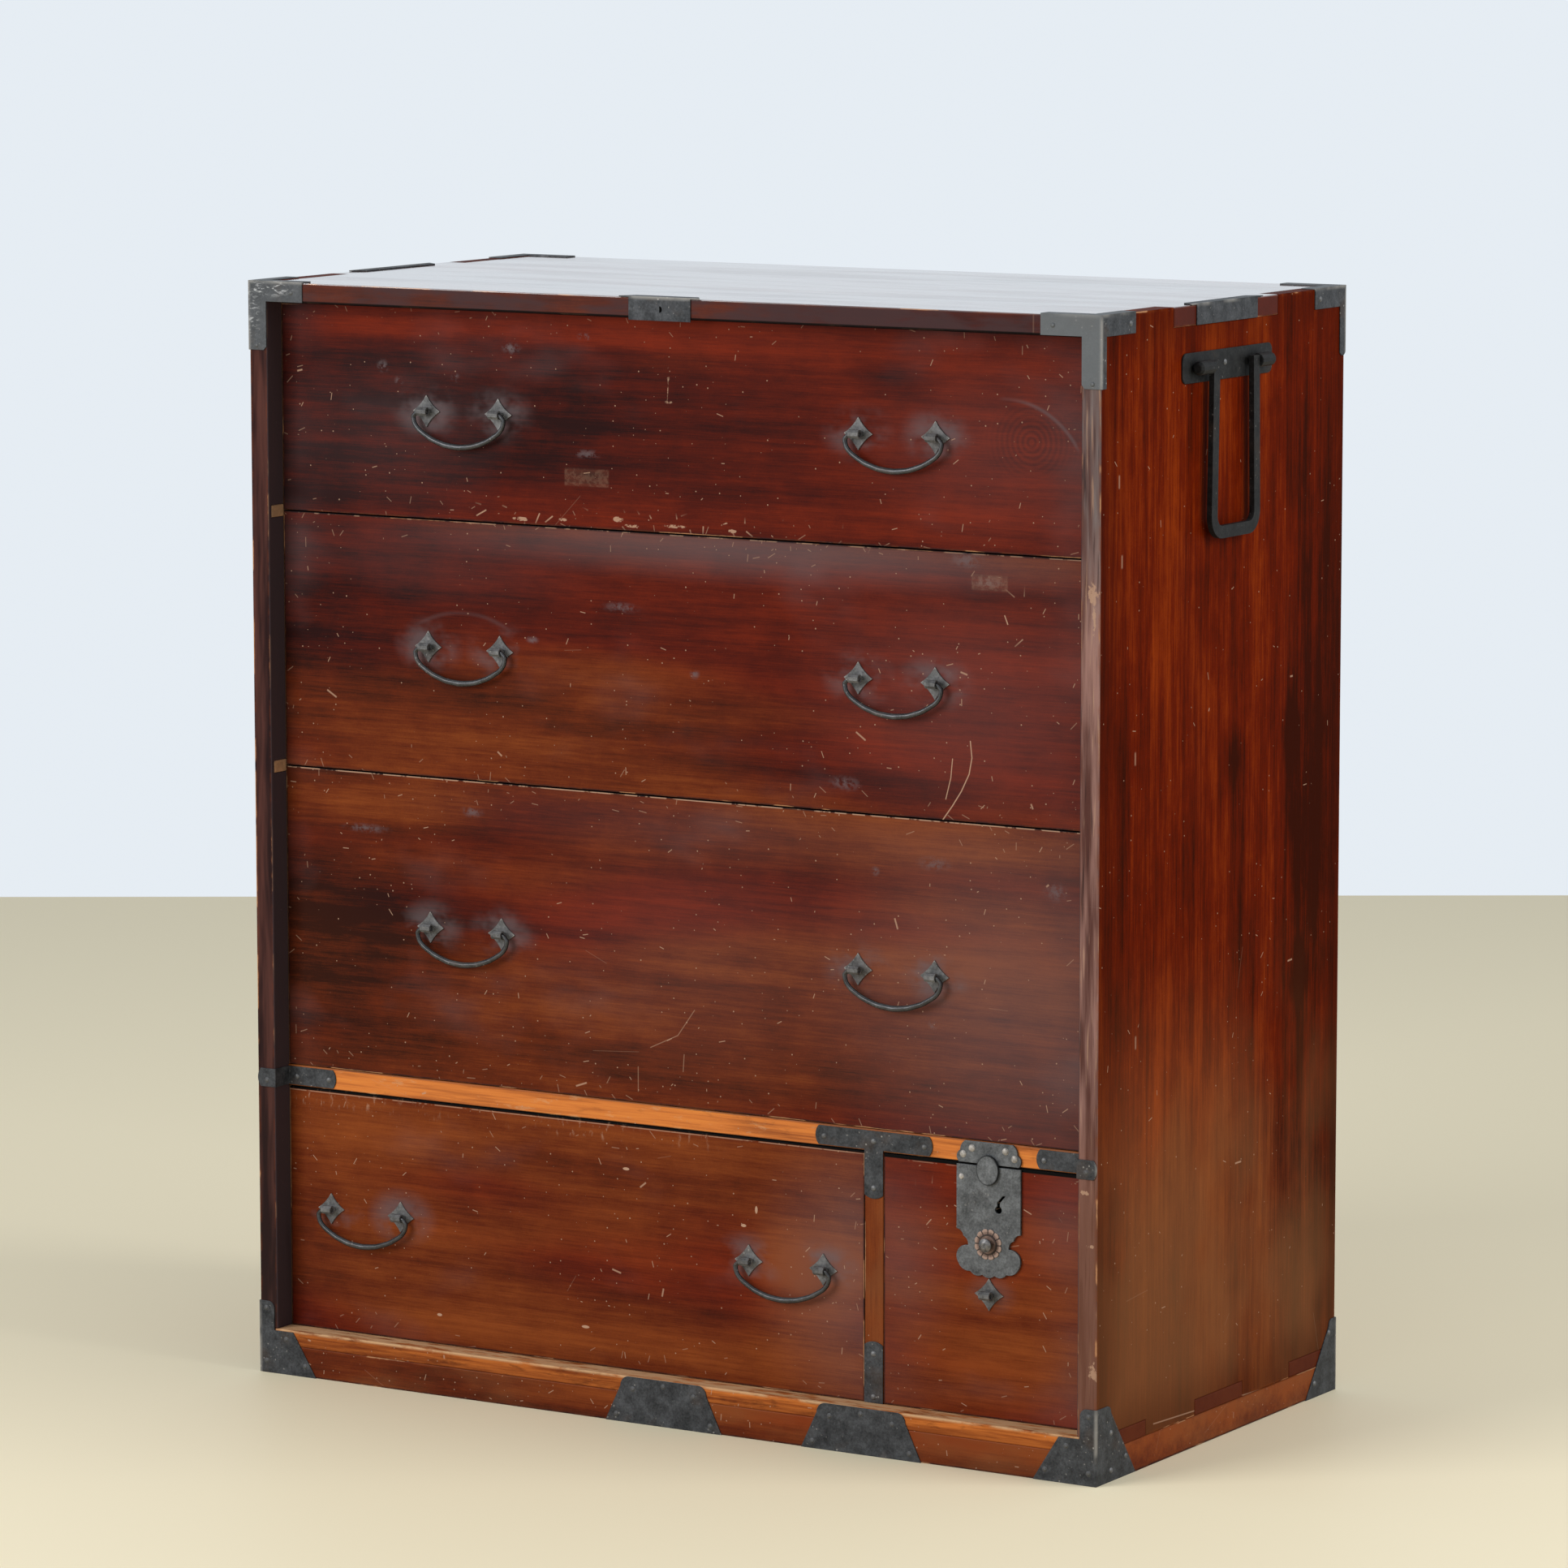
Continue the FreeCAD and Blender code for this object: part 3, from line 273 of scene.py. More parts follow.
class Finish(Nodes):
    """A material in the making: layers of colour, each laid over the last."""

    def __init__(self, name):
        self.material = bpy.data.materials.new(name)
        self.material.use_nodes = True
        super().__init__(self.material.node_tree)
        self.height = None
        self.coat = None

    def place(self):
        """A point of the piece, in the frame's metres while everything is at rest."""
        return self.add("ShaderNodeTexCoord", output="Object")

    def parts(self, vector):
        first = self.add("ShaderNodeSeparateXYZ", values={"Vector": vector})
        return first, first.other(1), first.other(2)

    def join(self, x, y, z=0):
        return self.add("ShaderNodeCombineXYZ", values={"X": x, "Y": y, "Z": z})

    def noise(self, place, detail=3, roughness=0.5, distortion=0):
        """Noise with one wave to the unit of place, so place carries the scale."""
        return self.add("ShaderNodeTexNoise", values={
            "Vector": place, "Scale": 1, "Detail": detail, "Roughness": roughness,
            "Distortion": distortion})

    def step(self, value, start, end):
        """Rises smoothly from 0 at start to 1 at end, or falls where end is the lower."""
        return self.add("ShaderNodeMapRange", {"interpolation_type": "SMOOTHSTEP"},
                        {"Value": value, "From Min": start, "From Max": end})

    def fade(self, value, start, end, origin=0):
        """A step whose start and end are millimetres from an origin."""
        return self.step(value, origin + start * MM, origin + end * MM)

    def ramp(self, value, stops):
        return self.add("ShaderNodeValToRGB", {"stops": stops}, {"Fac": value})

    def blend(self, amount, under, over):
        values = {0: amount, 6: under, 7: over}
        return self.add("ShaderNodeMix", {"data_type": "RGBA"}, values, output=2)

    def base(self, colour, roughness):
        """The lowest layer."""
        self.colour = colour
        self.roughness = roughness

    def lay(self, amount, colour, roughness):
        """A layer over part of the surface."""
        self.colour = self.blend(amount, self.colour, colour)
        self.roughness = self.roughness + amount * (roughness - self.roughness)

    def raise_by(self, height):
        """Relief in metres, added to what is there."""
        self.height = height if self.height is None else self.height + height

    def close(self, **constants):
        """Adds the shader. The constants are the sockets that are the same all over."""
        values = {name.replace("_", " "): value for name, value in constants.items()}
        values["Base Color"] = self.colour
        values["Roughness"] = self.roughness
        if self.coat is not None:
            values["Coat Weight"] = self.coat
        if self.height is not None:
            values["Normal"] = self.add("ShaderNodeBump", values={
                "Strength": 1, "Distance": 1, "Height": self.height})
        shader = self.add("ShaderNodeBsdfPrincipled", values=values)
        self.add("ShaderNodeOutputMaterial", values={"Surface": shader})
        return self.material


def set_stops(ramp, stops):
    while len(ramp.elements) < len(stops):
        ramp.elements.new(0.5)
    for element, (position, shade) in zip(ramp.elements, stops):
        element.position = position
        element.color = (*shade, 1)


# Masks

def shaded(tint, factor):
    return tuple(factor * part for part in tint)


def begin(name):
    """A new finish, the point that is shaded, and the point's three parts."""
    f = Finish(name)
    p = f.place()
    return f, p, f.parts(p)


def point(place):
    """A point of a face, given in millimetres."""
    return place[0] * MM, place[1] * MM, 0


def middle_half(node):
    """The middle of a CAD node's box, and half its size."""
    low, high = (Vector(corner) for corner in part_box(node))
    return (low + high) / 2, (high - low) / 2


def edge_gap(f, p, middle, half):
    """How far a point on a board's face is from the nearest of the board's edges."""
    x, y, z = f.parts(tuple(half) - abs(p - tuple(middle)))
    return x.least(y).most(x.most(y).least(z))


def scatter(f, plane, spacing, seed):
    """The nearest of a field of scattered points: the way to it, and three numbers of its own."""
    shifted = plane + (seed, seed * 0.7, 0)
    cell = f.add("ShaderNodeTexVoronoi", {"voronoi_dimensions": "2D"},
                 {"Vector": shifted, "Scale": 1 / (spacing * MM)})
    return shifted - cell.other("Position"), f.parts(cell.other("Color"))


def specks(f, plane, spacing, radius, kept, seed):
    """Small round chips, one in some of the cells of a scatter."""
    off, (size, _, chance) = scatter(f, plane, spacing, seed)
    reach = (size * 0.7 + 0.3) * (radius * MM)
    return f.fade(off.length() - reach, 0, -0.3 * radius) * f.step(chance, kept, kept - 0.01)


def nicks(f, plane, spacing, long, wide, kept, seed):
    """Short straight marks at all angles, one in some of the cells of a scatter."""
    off, (turned, reach, chance) = scatter(f, plane, spacing, seed)
    x, y, _ = f.parts(off)
    angle = turned * math.pi
    cosine, sine = angle.cosine(), angle.sine()
    along = abs(x * cosine + y * sine)
    across = abs(y * cosine - x * sine)
    inside = f.fade(along - reach * (long * MM), 0, -wide) * f.fade(across, wide, 0.4 * wide)
    return inside * f.step(chance, kept, kept - 0.01)


def stroke(f, plane, wide, start, end):
    """A single straight scratch."""
    start, end = Vector(point(start)), Vector(point(end))
    way = end - start
    off = plane - tuple(start)
    along = (off.dot(tuple(way)) / way.length_squared).most(0).least(1)
    return f.fade((off - f.join(along * way.x, along * way.y)).length(), wide, 0.3 * wide)


def scratch(f, plane, wide, *points):
    """A bent scratch through the points."""
    return reduce(Wire.most, [stroke(f, plane, wide, *ends) for ends in zip(points, points[1:])])


def patch(f, plane, middle, size, soft):
    """A rectangle whose edges fade over soft."""
    x, y, _ = f.parts(abs(plane - point(middle)))
    return f.fade(x, size[0] / 2, size[0] / 2 - soft) * f.fade(y, size[1] / 2, size[1] / 2 - soft)


def glow(f, plane, x, y, along, up):
    """An oval that fades from 1 at its middle to 0 at its reach along and up."""
    return f.step(((plane - point((x, y))) * (1 / (along * MM), 1 / (up * MM), 0)).length(), 1, 0)


def clouds(f, plane, *ovals):
    """The sum of soft ovals, each given by its strength, middle and reach."""
    return reduce(Wire.__add__, [glow(f, plane, *oval) * strength for strength, *oval in ovals])


def arc(f, plane, centre, radius, wide, middle, size):
    """A curved rub: the part of a ring that lies in a patch."""
    ring = f.fade(abs((plane - point(centre)).length() - radius * MM), wide, 0)
    return ring * patch(f, plane, middle, size, 8)


# Lacquer

def lacquer(f, looks, p, along, seed, tone=0, amber=0, reds="cherry", depth=1.2):
    """Clear lacquer over straight grain that runs along X or Z.

    The tone lifts it from dark to bright, amber turns it from red to orange brown, and depth is how
    far the streaks stand apart.
    """
    def stretched(long, short):
        return (long, short, short) if along == "X" else (short, short, long)

    broad = f.noise(p * stretched(1.8, 11) + seed, 2, 0.5, 0.3)
    streak = f.noise(p * stretched(3.6, 70) + seed, 3, 0.6, 0.3)
    line = f.noise(p * stretched(9, 290) + seed, 3, 0.65, 0.2)
    fibre = f.noise(p * stretched(45, 1200), 1)
    mottle = f.noise(p * stretched(22, 34) + seed, 5, 0.68, 0.2)
    grit = f.noise(p * 700, 2, 0.7)
    streaks = broad * (0.24 * depth) + streak * (0.17 * depth) + line * (0.12 * depth)
    streaks = streaks + fibre * (0.08 * depth) + mottle * 0.16 + grit * 0.05
    figure = streaks + (tone + 0.395 - 0.305 * depth)
    red, brown = [
        f.ramp(figure, [(0.4, getattr(looks, kind + "_dark")), (0.5, getattr(looks, kind)),
                        (0.64, getattr(looks, kind + "_bright"))]) for kind in (reds, "amber")]
    hue = f.noise(p * stretched(2, 9) + (seed + 4), 2)
    f.base(f.blend(f.step(hue + amber, 0.38, 0.62), red, brown), 0.34 + line * 0.16)
    f.raise_by(line * 0.00005 + fibre * 0.00003)


def bare_inside(f, looks, p, covered):
    """Where covered is 0 the board was never lacquered."""
    grain = f.noise(p * (14, 220, 220), 3)
    f.lay(1 - covered, f.blend(grain, looks.inner_wood, looks.bare_wood), 0.75)


def haze(f, amount, tint):
    """A pale veil of bloom and dust, which on the top is partly a painted reflection."""
    f.lay(amount.most(0).least(0.75), tint, 0.48)


def worn_edges(f, looks, p, gap, reach, seed, chance=0.12):
    """Lacquer rubbed thin within reach of the edges, and chipped from them here and there."""
    ragged = f.noise(p * 60 + seed, 4, 0.65)
    place = f.noise(p * 19 + seed, 2)
    f.lay(f.fade(gap, 2 * reach, 0) * f.step(ragged, 0.42, 0.6) * 0.3, looks.amber_bright, 0.5)
    kept = 0.7 - chance
    chips = f.fade(gap - ragged * (1.6 * reach * MM), 0, -0.4 * reach)
    chips = chips * f.step(place, kept, kept + 0.03)
    f.lay(chips * 0.85, looks.bare_wood, 0.8)


def scattered_wear(f, looks, plane, seed, amount=1):
    """Pinprick chips, short nicks and faint long scratches, crowded together in places."""
    crowd = f.step(f.noise(plane * 9 + seed, 2), 0.36, 0.62) * amount
    chips = specks(f, plane, 11, 0.75, crowd * 0.4 + 0.04, seed)
    chips = chips.most(nicks(f, plane, 26, 3.4, 0.5, crowd * 0.42, seed + 3.1))
    chips = chips.most(nicks(f, plane, 85, 6, 1, crowd * 0.3, seed + 5.3))
    hairs = nicks(f, plane, 120, 30, 0.4, 0.25 * amount, seed + 7.7)
    f.lay(chips * 0.62, looks.chip, 0.8)
    f.lay(hairs * 0.14, looks.chip, 0.6)
    f.raise_by(chips * -0.0001)


# Meshes

WELD_GAP = 0.00001


def soften(node, width):
    """Rounds the edges of a CAD node with modifiers alone."""
    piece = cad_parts[node]
    weld = piece.modifiers.new("weld", "WELD")
    weld.merge_threshold = WELD_GAP
    flat = piece.modifiers.new("flat", "DECIMATE")
    flat.decimate_type = "DISSOLVE"
    flat.angle_limit = math.radians(1)
    bevel = piece.modifiers.new("edge", "BEVEL")
    bevel.width = width
    bevel.segments = 2
    bevel.limit_method = "ANGLE"
    bevel.angle_limit = math.radians(30)
    bevel.use_clamp_overlap = True


def paint(node, material):
    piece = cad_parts[node]
    piece.data.materials.clear()
    piece.data.materials.append(material)


def dress(nodes, material, width):
    """Gives CAD nodes a material and rounds their edges."""
    for node in nodes:
        paint(node, material)
        soften(node, width)


def add_object(name, data):
    item = bpy.data.objects.new(name, data)
    bpy.context.scene.collection.objects.link(item)
    return item


def add_mesh(name, build, material):
    """An object made of what was built."""
    mesh = bpy.data.meshes.new(name)
    build.to_mesh(mesh)
    build.free()
    mesh.materials.append(material)
    return add_object(name, mesh)


def nail_heads(name, places, facing, looks, material, body, radius=None):
    """Low domes on a plane that faces along facing, riding on a body."""
    radius = radius or looks.nail_radius
    normal = Vector(facing)
    across = normal.orthogonal().normalized()
    up = normal.cross(across)
    sides, rings = 12, 3
    build = bmesh.new()
    for place in places:
        centre = Vector(place)
        rows = []
        for ring in range(rings):
            angle = math.pi / 2 * ring / rings
            row = []
            for side in range(sides):
                bearing = 2 * math.pi * side / sides
                spoke = across * math.cos(bearing) + up * math.sin(bearing)
                row.append(build.verts.new(centre + spoke * radius * math.cos(angle)
                                           + normal * looks.nail_rise * math.sin(angle)))
            rows.append(row)
        top = build.verts.new(centre + normal * looks.nail_rise)
        for side in range(sides):
            after = (side + 1) % sides
            for lower, upper in zip(rows, rows[1:]):
                build.faces.new((lower[side], lower[after], upper[after], upper[side]))
            build.faces.new((rows[-1][side], rows[-1][after], top))
    for face in build.faces:
        face.smooth = True
    piece = add_mesh(name, build, material)
    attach(piece, body)


# Finishes of the drawer fronts

# What makes each front its own. Tone makes the lacquer lighter, amber turns it from red to brown, and
# bloom leaves it hazy: rows of ovals for clouds, after a level that is added all over. Seam is for the
# top edge: how far down it the shadow of the board above is black, from which X to which the lacquer
# below that is worn to a pale line, how pale, and how broken.
FRONTS = {
    # Dark and purple on the left, redder on the right
    "drawer_1": {
        "tone": (-0.012, (-0.055, -170, 825, 280, 85), (0.055, 0, 735, 340, 30),
                 (0.075, 270, 790, 220, 130), (-0.09, 203, 856, 60, 22), (-0.055, -370, 800, 140, 180),
                 (0.04, -40, 762, 120, 35)),
        "amber": (-0.3,),
        "bloom": ((0.1, -270, 790, 160, 100), (0.12, 300, 800, 160, 100), (-0.16, -20, 760, 180, 50)),
        "seam": (1.6, -400, -360, 0.6, 0.4)},
    # Hazed along the top, orange in the middle, dark red to the right.
    "drawer_2": {
        "tone": (0, (0.03, -200, 548, 180, 32), (0.05, -40, 630, 240, 90),
                 (-0.06, 100, 540, 260, 20), (-0.05, -360, 620, 170, 150),
                 (0.055, 260, 600, 220, 120)),
        "amber": (-0.05, (0.06, -200, 548, 180, 30), (-0.14, 240, 580, 240, 120),
                 (-0.14, 200, 680, 300, 80)),
        "bloom": ((0.5, 80, 714, 440, 34), (0.17, 280, 600, 200, 140), (0.1, -250, 690, 220, 50),
                 (-0.09, -340, 600, 100, 120)),
        "seam": (-0.1, -410, 400, 0.4, 0.5)},
    # An orange streak high on the left, redder in the middle, dark below and hazy on the right.
    "drawer_3": {
        "tone": (0.012, (0.065, -290, 486, 140, 26), (0.04, 20, 420, 300, 70),
                 (-0.085, -340, 380, 220, 150), (-0.04, -140, 300, 260, 30),
                 (0.07, 280, 400, 220, 160), (0.05, 200, 495, 260, 28)),
        "amber": (0.02, (0.24, -290, 486, 160, 35), (0.06, 250, 360, 240, 140),
                 (0.12, 200, 495, 260, 30)),
        "bloom": ((0.38, 310, 370, 220, 220), (0.1, 50, 490, 400, 40), (-0.1, -330, 380, 120, 140),
                 (0.12, 30, 380, 240, 140)),
        "seam": (-0.1, -410, 410, 0.75, 0.4)},
    # Orange brown at the top left and along the foot, dark in the middle and at the left end.
    "drawer_4": {
        "tone": (0.035, (0.07, -290, 215, 130, 30), (0.065, -100, 58, 420, 30),
                 (-0.04, -170, 150, 120, 35), (0.1, 130, 130, 100, 120), (-0.045, -370, 120, 60, 140),
                 (0.07, -20, 225, 300, 34)),
        "amber": (0.05, (0.2, -280, 210, 180, 50), (0.2, -50, 60, 400, 50), (0.24, 0, 220, 320, 50),
                 (0.22, 140, 140, 100, 140)),
        "bloom": ((-0.3, -370, 130, 80, 160), (0.3, 150, 140, 90, 140)),
        "seam": (1.5, -410, 190, 0.5, 0.38)},
    # Red brown, brighter low down and hazy at the left.
    "drawer_5": {
        "tone": (0.085, (0.05, 290, 80, 160, 50), (0.04, 360, 200, 60, 60)),
        "amber": (0.01, (0.1, 280, 80, 160, 60)),
        "bloom": ((0.16, 215, 160, 60, 100), (0.18, 360, 200, 60, 60)),
        "seam": (2.6, 200, 280, 0.3, 0.4)}}


def tones(f, plane, level, *ovals):
    """A level all over, with soft ovals added."""
    return clouds(f, plane, *ovals) + level if ovals else level


def knot_and_band(f, plane, x, z):
    """The rings of a knot on the first front's right, and a bright band under its top edge."""
    knot = 327, 811
    turned = (plane - point(knot)).length() * (2 * math.pi / (4.6 * MM))
    band = f.fade(z, 862, 878) * f.fade(x, 220, -50) * f.fade(x, -395, -300)
    return turned.sine() * glow(f, plane, *knot, 55, 40) * 0.035 + band * 0.11


def front_finish(looks, drawer, seed):
    """A drawer front: lacquer outside, haze at its ends and round its pulls, painted shade along its
    edges, bare wood behind.
    """
    f, p, (x, y, z) = begin(drawer + "_lacquer")
    plane = f.join(x, z)
    middle, half = middle_half(drawer + "_front")
    own = FRONTS[drawer]
    tone, amber = (tones(f, plane, *own[kind]) for kind in ("tone", "amber"))
    if drawer == "drawer_1":
        tone = tone + knot_and_band(f, plane, x, z)
    lacquer(f, looks, p, "X", seed, tone, amber)
    drift = f.noise(p * (6, 6, 11) + seed, 3, 0.6)
    ends = f.fade(half.x - abs(x - middle.x), 60, 0) * f.step(drift, 0.3, 0.65) * 0.14
    reach, strength = (28, 0.6) if drawer in WIDE_DRAWERS else (20, 0.25)
    along, up, _ = plate_way(x, z, drawer)
    smear = f.noise(p * (26, 26, 40) + seed, 3, 0.6)
    halo = f.fade(f.join(along * 0.7, up).length(), reach, 6) * f.step(smear, 0.38, 0.66) * strength
    bloom = clouds(f, plane, *own["bloom"])
    haze(f, ends + f.step(drift, 0.54, 0.85) * 0.22 + halo + bloom, looks.bloom)
    scattered_wear(f, looks, plane, seed)
    gap = edge_gap(f, p, middle, half)
    rim = nicks(f, plane, 13, 4.5, 0.5, f.fade(gap, 30, 3) * 0.45, seed + 9.1)
    f.lay(rim * 0.36, looks.chip, 0.8)
    # Painted shade: the seams round the front are darkened within 1.6 mm of its edges.
    f.lay(f.fade(gap, 1.6, 0.4) * 0.75, looks.reveal, 0.5)
    worn_edges(f, looks, p, gap, 0.9, seed)
    top_seam(f, looks, p, (x, y, z), seed, middle.z + half.z, *own["seam"])
    FRONT_MARKS[drawer](f, looks, plane)
    bare_inside(f, looks, p, f.fade(y, -1.5, -2.5, BOARD_BACK_Y))
    return f.close(Coat_Weight=looks.gloss, Coat_Roughness=0.2, Specular_IOR_Level=0.02)


def top_seam(f, looks, p, parts, seed, top, shadow, start, end, strength, broken):
    """The black shadow along a front's top edge, over a pale broken line."""
    x, y, z = parts
    shadow = top - shadow * MM
    f.lay(f.fade(z, -0.5, -0.2, top), looks.reveal, 0.5)
    f.lay(f.fade(y, 1.4, 0.6, FACE_Y) * f.fade(z, -0.2, 0.2, shadow), looks.hole, 0.6)
    line = f.fade(abs(z - (shadow - 0.7 * MM)), 0.6, 0.3)
    line = line * f.fade(x, start, start + 30) * f.fade(x, end, end - 30)
    line = line * f.step(f.noise(p * 75 + seed, 3, 0.6), broken, broken + 0.08)
    f.lay(line * strength, looks.chip, 0.7)


def plate_way(x, z, drawer):
    """The way from the middle of the nearest pull plate, along and up, and half the plate's height."""
    middle, half = middle_half(drawer + "_pull_mounts")
    along = x - middle.x
    if drawer in WIDE_DRAWERS:
        bail = middle_half(drawer + "_bail_right")[0].x - middle.x
        along = abs(abs(along) - bail) - (half.x - half.z - bail)
    return along, z - middle.z, half.z


def torn(f, plane, start=0.4):
    """Where what is left of a mark is torn."""
    return f.step(f.noise(plane * 150, 4, 0.7), start, 0.58)


def first_marks(f, looks, plane):
    """The ghost of a glued label, a long curved rub, a drip, small grey blots and a chipped foot."""
    left = torn(f, plane, 0.44)
    f.lay(patch(f, plane, (-83, 764), (44, 16), 2) * (left * 0.09 + 0.045), looks.chip, 0.8)
    rub = arc(f, plane, (301.4, 765.3), 78.8, 2.6, (334, 824), (76, 46))
    blots = clouds(f, plane, (0.8, -155, 865, 12, 6), (0.7, -281, 846, 8, 7), (0.6, -265, 834, 6, 6),
                   (0.6, -209, 839, 7, 5), (0.7, -84, 877, 10, 4), (0.6, -83, 783, 18, 5))
    haze(f, (rub * 0.4).most(blots * left), looks.bloom)
    drip = clouds(f, plane, (1, -5, 850, 2, 8), (0.9, -5, 828, 5.5, 1.8))
    drip = f.step(drip.most(scratch(f, plane, 0.6, (-5, 848), (-6, 829)) * 0.5), 0.1, 0.5) * left
    low = nicks(f, plane, 13, 6, 0.8, 0.55, 21) * patch(f, plane, (-40, 731), (400, 20), 10)
    foot = clouds(f, plane, (1, -147, 727.5, 12, 2.6), (1, -106, 729, 6, 2), (1, -53, 732, 7, 3.4),
                  (1, -40, 727.5, 10, 2.2), (1, 0, 729, 16, 2), (1, 54, 728, 7, 2.2))
    foot = f.step(foot * (left + 0.25), 0.15, 0.45)
    f.lay(drip.most(low).most(foot) * 0.75, looks.chip, 0.8)


def second_marks(f, looks, plane):
    """Two long bent scratches, a field of nicks on the right, and a rub over the left pull."""
    long = scratch(f, plane, 0.7, (273, 575), (274.5, 562), (272, 549), (265, 535), (257, 523),
                   (248, 511))
    short = scratch(f, plane, 0.6, (257, 560), (255.5, 545), (251, 528))
    field = nicks(f, plane, 19, 9, 0.7, 0.42, 31) * patch(f, plane, (324, 672), (80, 60), 25)
    f.lay(long.most(short).most(field) * 0.85, looks.chip, 0.8)
    arch = arc(f, plane, (-203, 560), 88, 3, (-203, 643), (100, 20))
    blots = clouds(f, plane, (0.6, -51, 661, 22, 6), (0.8, -136, 630, 8, 4), (0.7, 19, 612, 6, 6),
                   (0.5, 288, 700, 20, 6), (0.6, 269, 717, 20, 10), (0.6, 159, 534, 20, 8))
    left = torn(f, plane)
    haze(f, (arch * 0.16).most(blots * left), looks.bloom)
    f.lay(patch(f, plane, (290, 700), (34, 14), 2) * (left * 0.1 + 0.04), looks.chip, 0.8)


def third_marks(f, looks, plane):
    """Thin upright scratches low down, a curved one beside them, and grey blots."""
    marks = [scratch(f, plane, 0.6, *points) for points in (
        ((-36, 269), (-36, 289)), ((7, 289), (8, 303)), ((-24, 306), (2, 318), (18, 340)))]
    f.lay(reduce(Wire.most, marks) * 0.35, looks.chip, 0.8)
    haze(f, torn(f, plane) * clouds(
        f, plane, (0.6, -301, 464, 30, 5), (0.6, -196, 485, 14, 6), (0.5, 241, 476, 20, 8),
        (0.6, 350, 462, 14, 10), (0.7, 187, 466, 5, 5), (0.7, 240, 348, 6, 5)), looks.bloom)


def fourth_marks(f, looks, plane):
    """Pale upright scuffs under the rail, and a few deep nicks."""
    scuffs = f.step(f.noise(plane * (190, 60, 1), 4, 0.7), 0.55, 0.7)
    scuffs = patch(f, plane, (-170, 233), (440, 20), 8) * scuffs
    scuffs = scuffs * f.step(f.noise(plane * (14, 3, 1), 2), 0.42, 0.6)
    deep = clouds(f, plane, (1, -48, 204, 5, 2), (1, -88, 69, 6, 2), (1, 76, 183, 2, 5),
                  (1, 64, 169, 4, 2), (1, -232, 63, 4, 2))
    f.lay((scuffs * 0.5).most(f.step(deep, 0.2, 0.5) * 0.9), looks.chip, 0.8)


def fifth_marks(f, looks, plane):
    """Nicks round the lock, and painted shade behind its keyhole."""
    middle = middle_half("lock_case")[0] / MM
    # Painted shade: a black patch on the front behind the lock's keyhole.
    f.lay(patch(f, plane, (middle.x + 11.6, middle.z + 8), (16, 24), 1), looks.hole, 0.9)
    field = nicks(f, plane, 16, 6, 0.6, 0.35, 41) * patch(f, plane, (290, 200), (140, 60), 20)
    f.lay(field * 0.7, looks.chip, 0.8)


FRONT_MARKS = dict(zip(DRAWERS, (first_marks, second_marks, third_marks, fourth_marks, fifth_marks)))


# Finishes of the case

def front_edge(f, y):
    """The front edges of the case's boards."""
    return f.fade(y, 1.2, 0.4, CASE_LOW.y)


def worn_front(f, looks, p, parts, side):
    """The front edge of a side: rubbed grey near the top, red brown and cracked below."""
    x, y, z = parts
    edge = front_edge(f, y)
    soft = f.noise(p * (90, 90, 7), 3, 0.6)
    if side == "left":
        f.lay(edge * 0.9, f.blend(f.step(soft, 0.35, 0.7), looks.reveal, looks.cheek_red), 0.55)
        return
    wood = f.blend(f.step(soft, 0.34, 0.66), looks.cheek_red, looks.cheek_worn)
    grime = f.blend(f.step(soft, 0.3, 0.7), looks.cheek_red, looks.cheek_grey)
    f.lay(edge * 0.95, f.blend(f.step(z + soft * 0.12, 0.72, 0.84), wood, grime), 0.55)
    fine = f.noise(p * (420, 420, 16), 3)
    f.lay(edge * f.step(fine, 0.56, 0.68) * 0.6, looks.reveal, 0.7)
    f.lay(edge * f.step(fine, 0.42, 0.32) * 0.5, looks.chip, 0.7)
    f.lay(edge * f.fade(z, 310, 200) * 0.8, looks.cheek_low, 0.55)
    chips = clouds(f, f.join(x, z), (1, 392, 700, 9, 14), (0.9, 394, 680, 3, 22), (0.9, 388, 232, 7, 3),
                   (0.8, 394, 190, 6, 3), (1, 396, 90, 7, 12))
    ragged = f.noise(p * (330, 1, 210), 4, 0.7)
    chips = f.step(chips + ragged * 3, 1.95, 2.15) * f.step(chips, 0.02, 0.2)
    f.lay(edge * chips * 0.7, looks.chip, 0.7)


TENON_ENDS = ((173, 783), (145, 565.5), (142, 342), (168, 721))


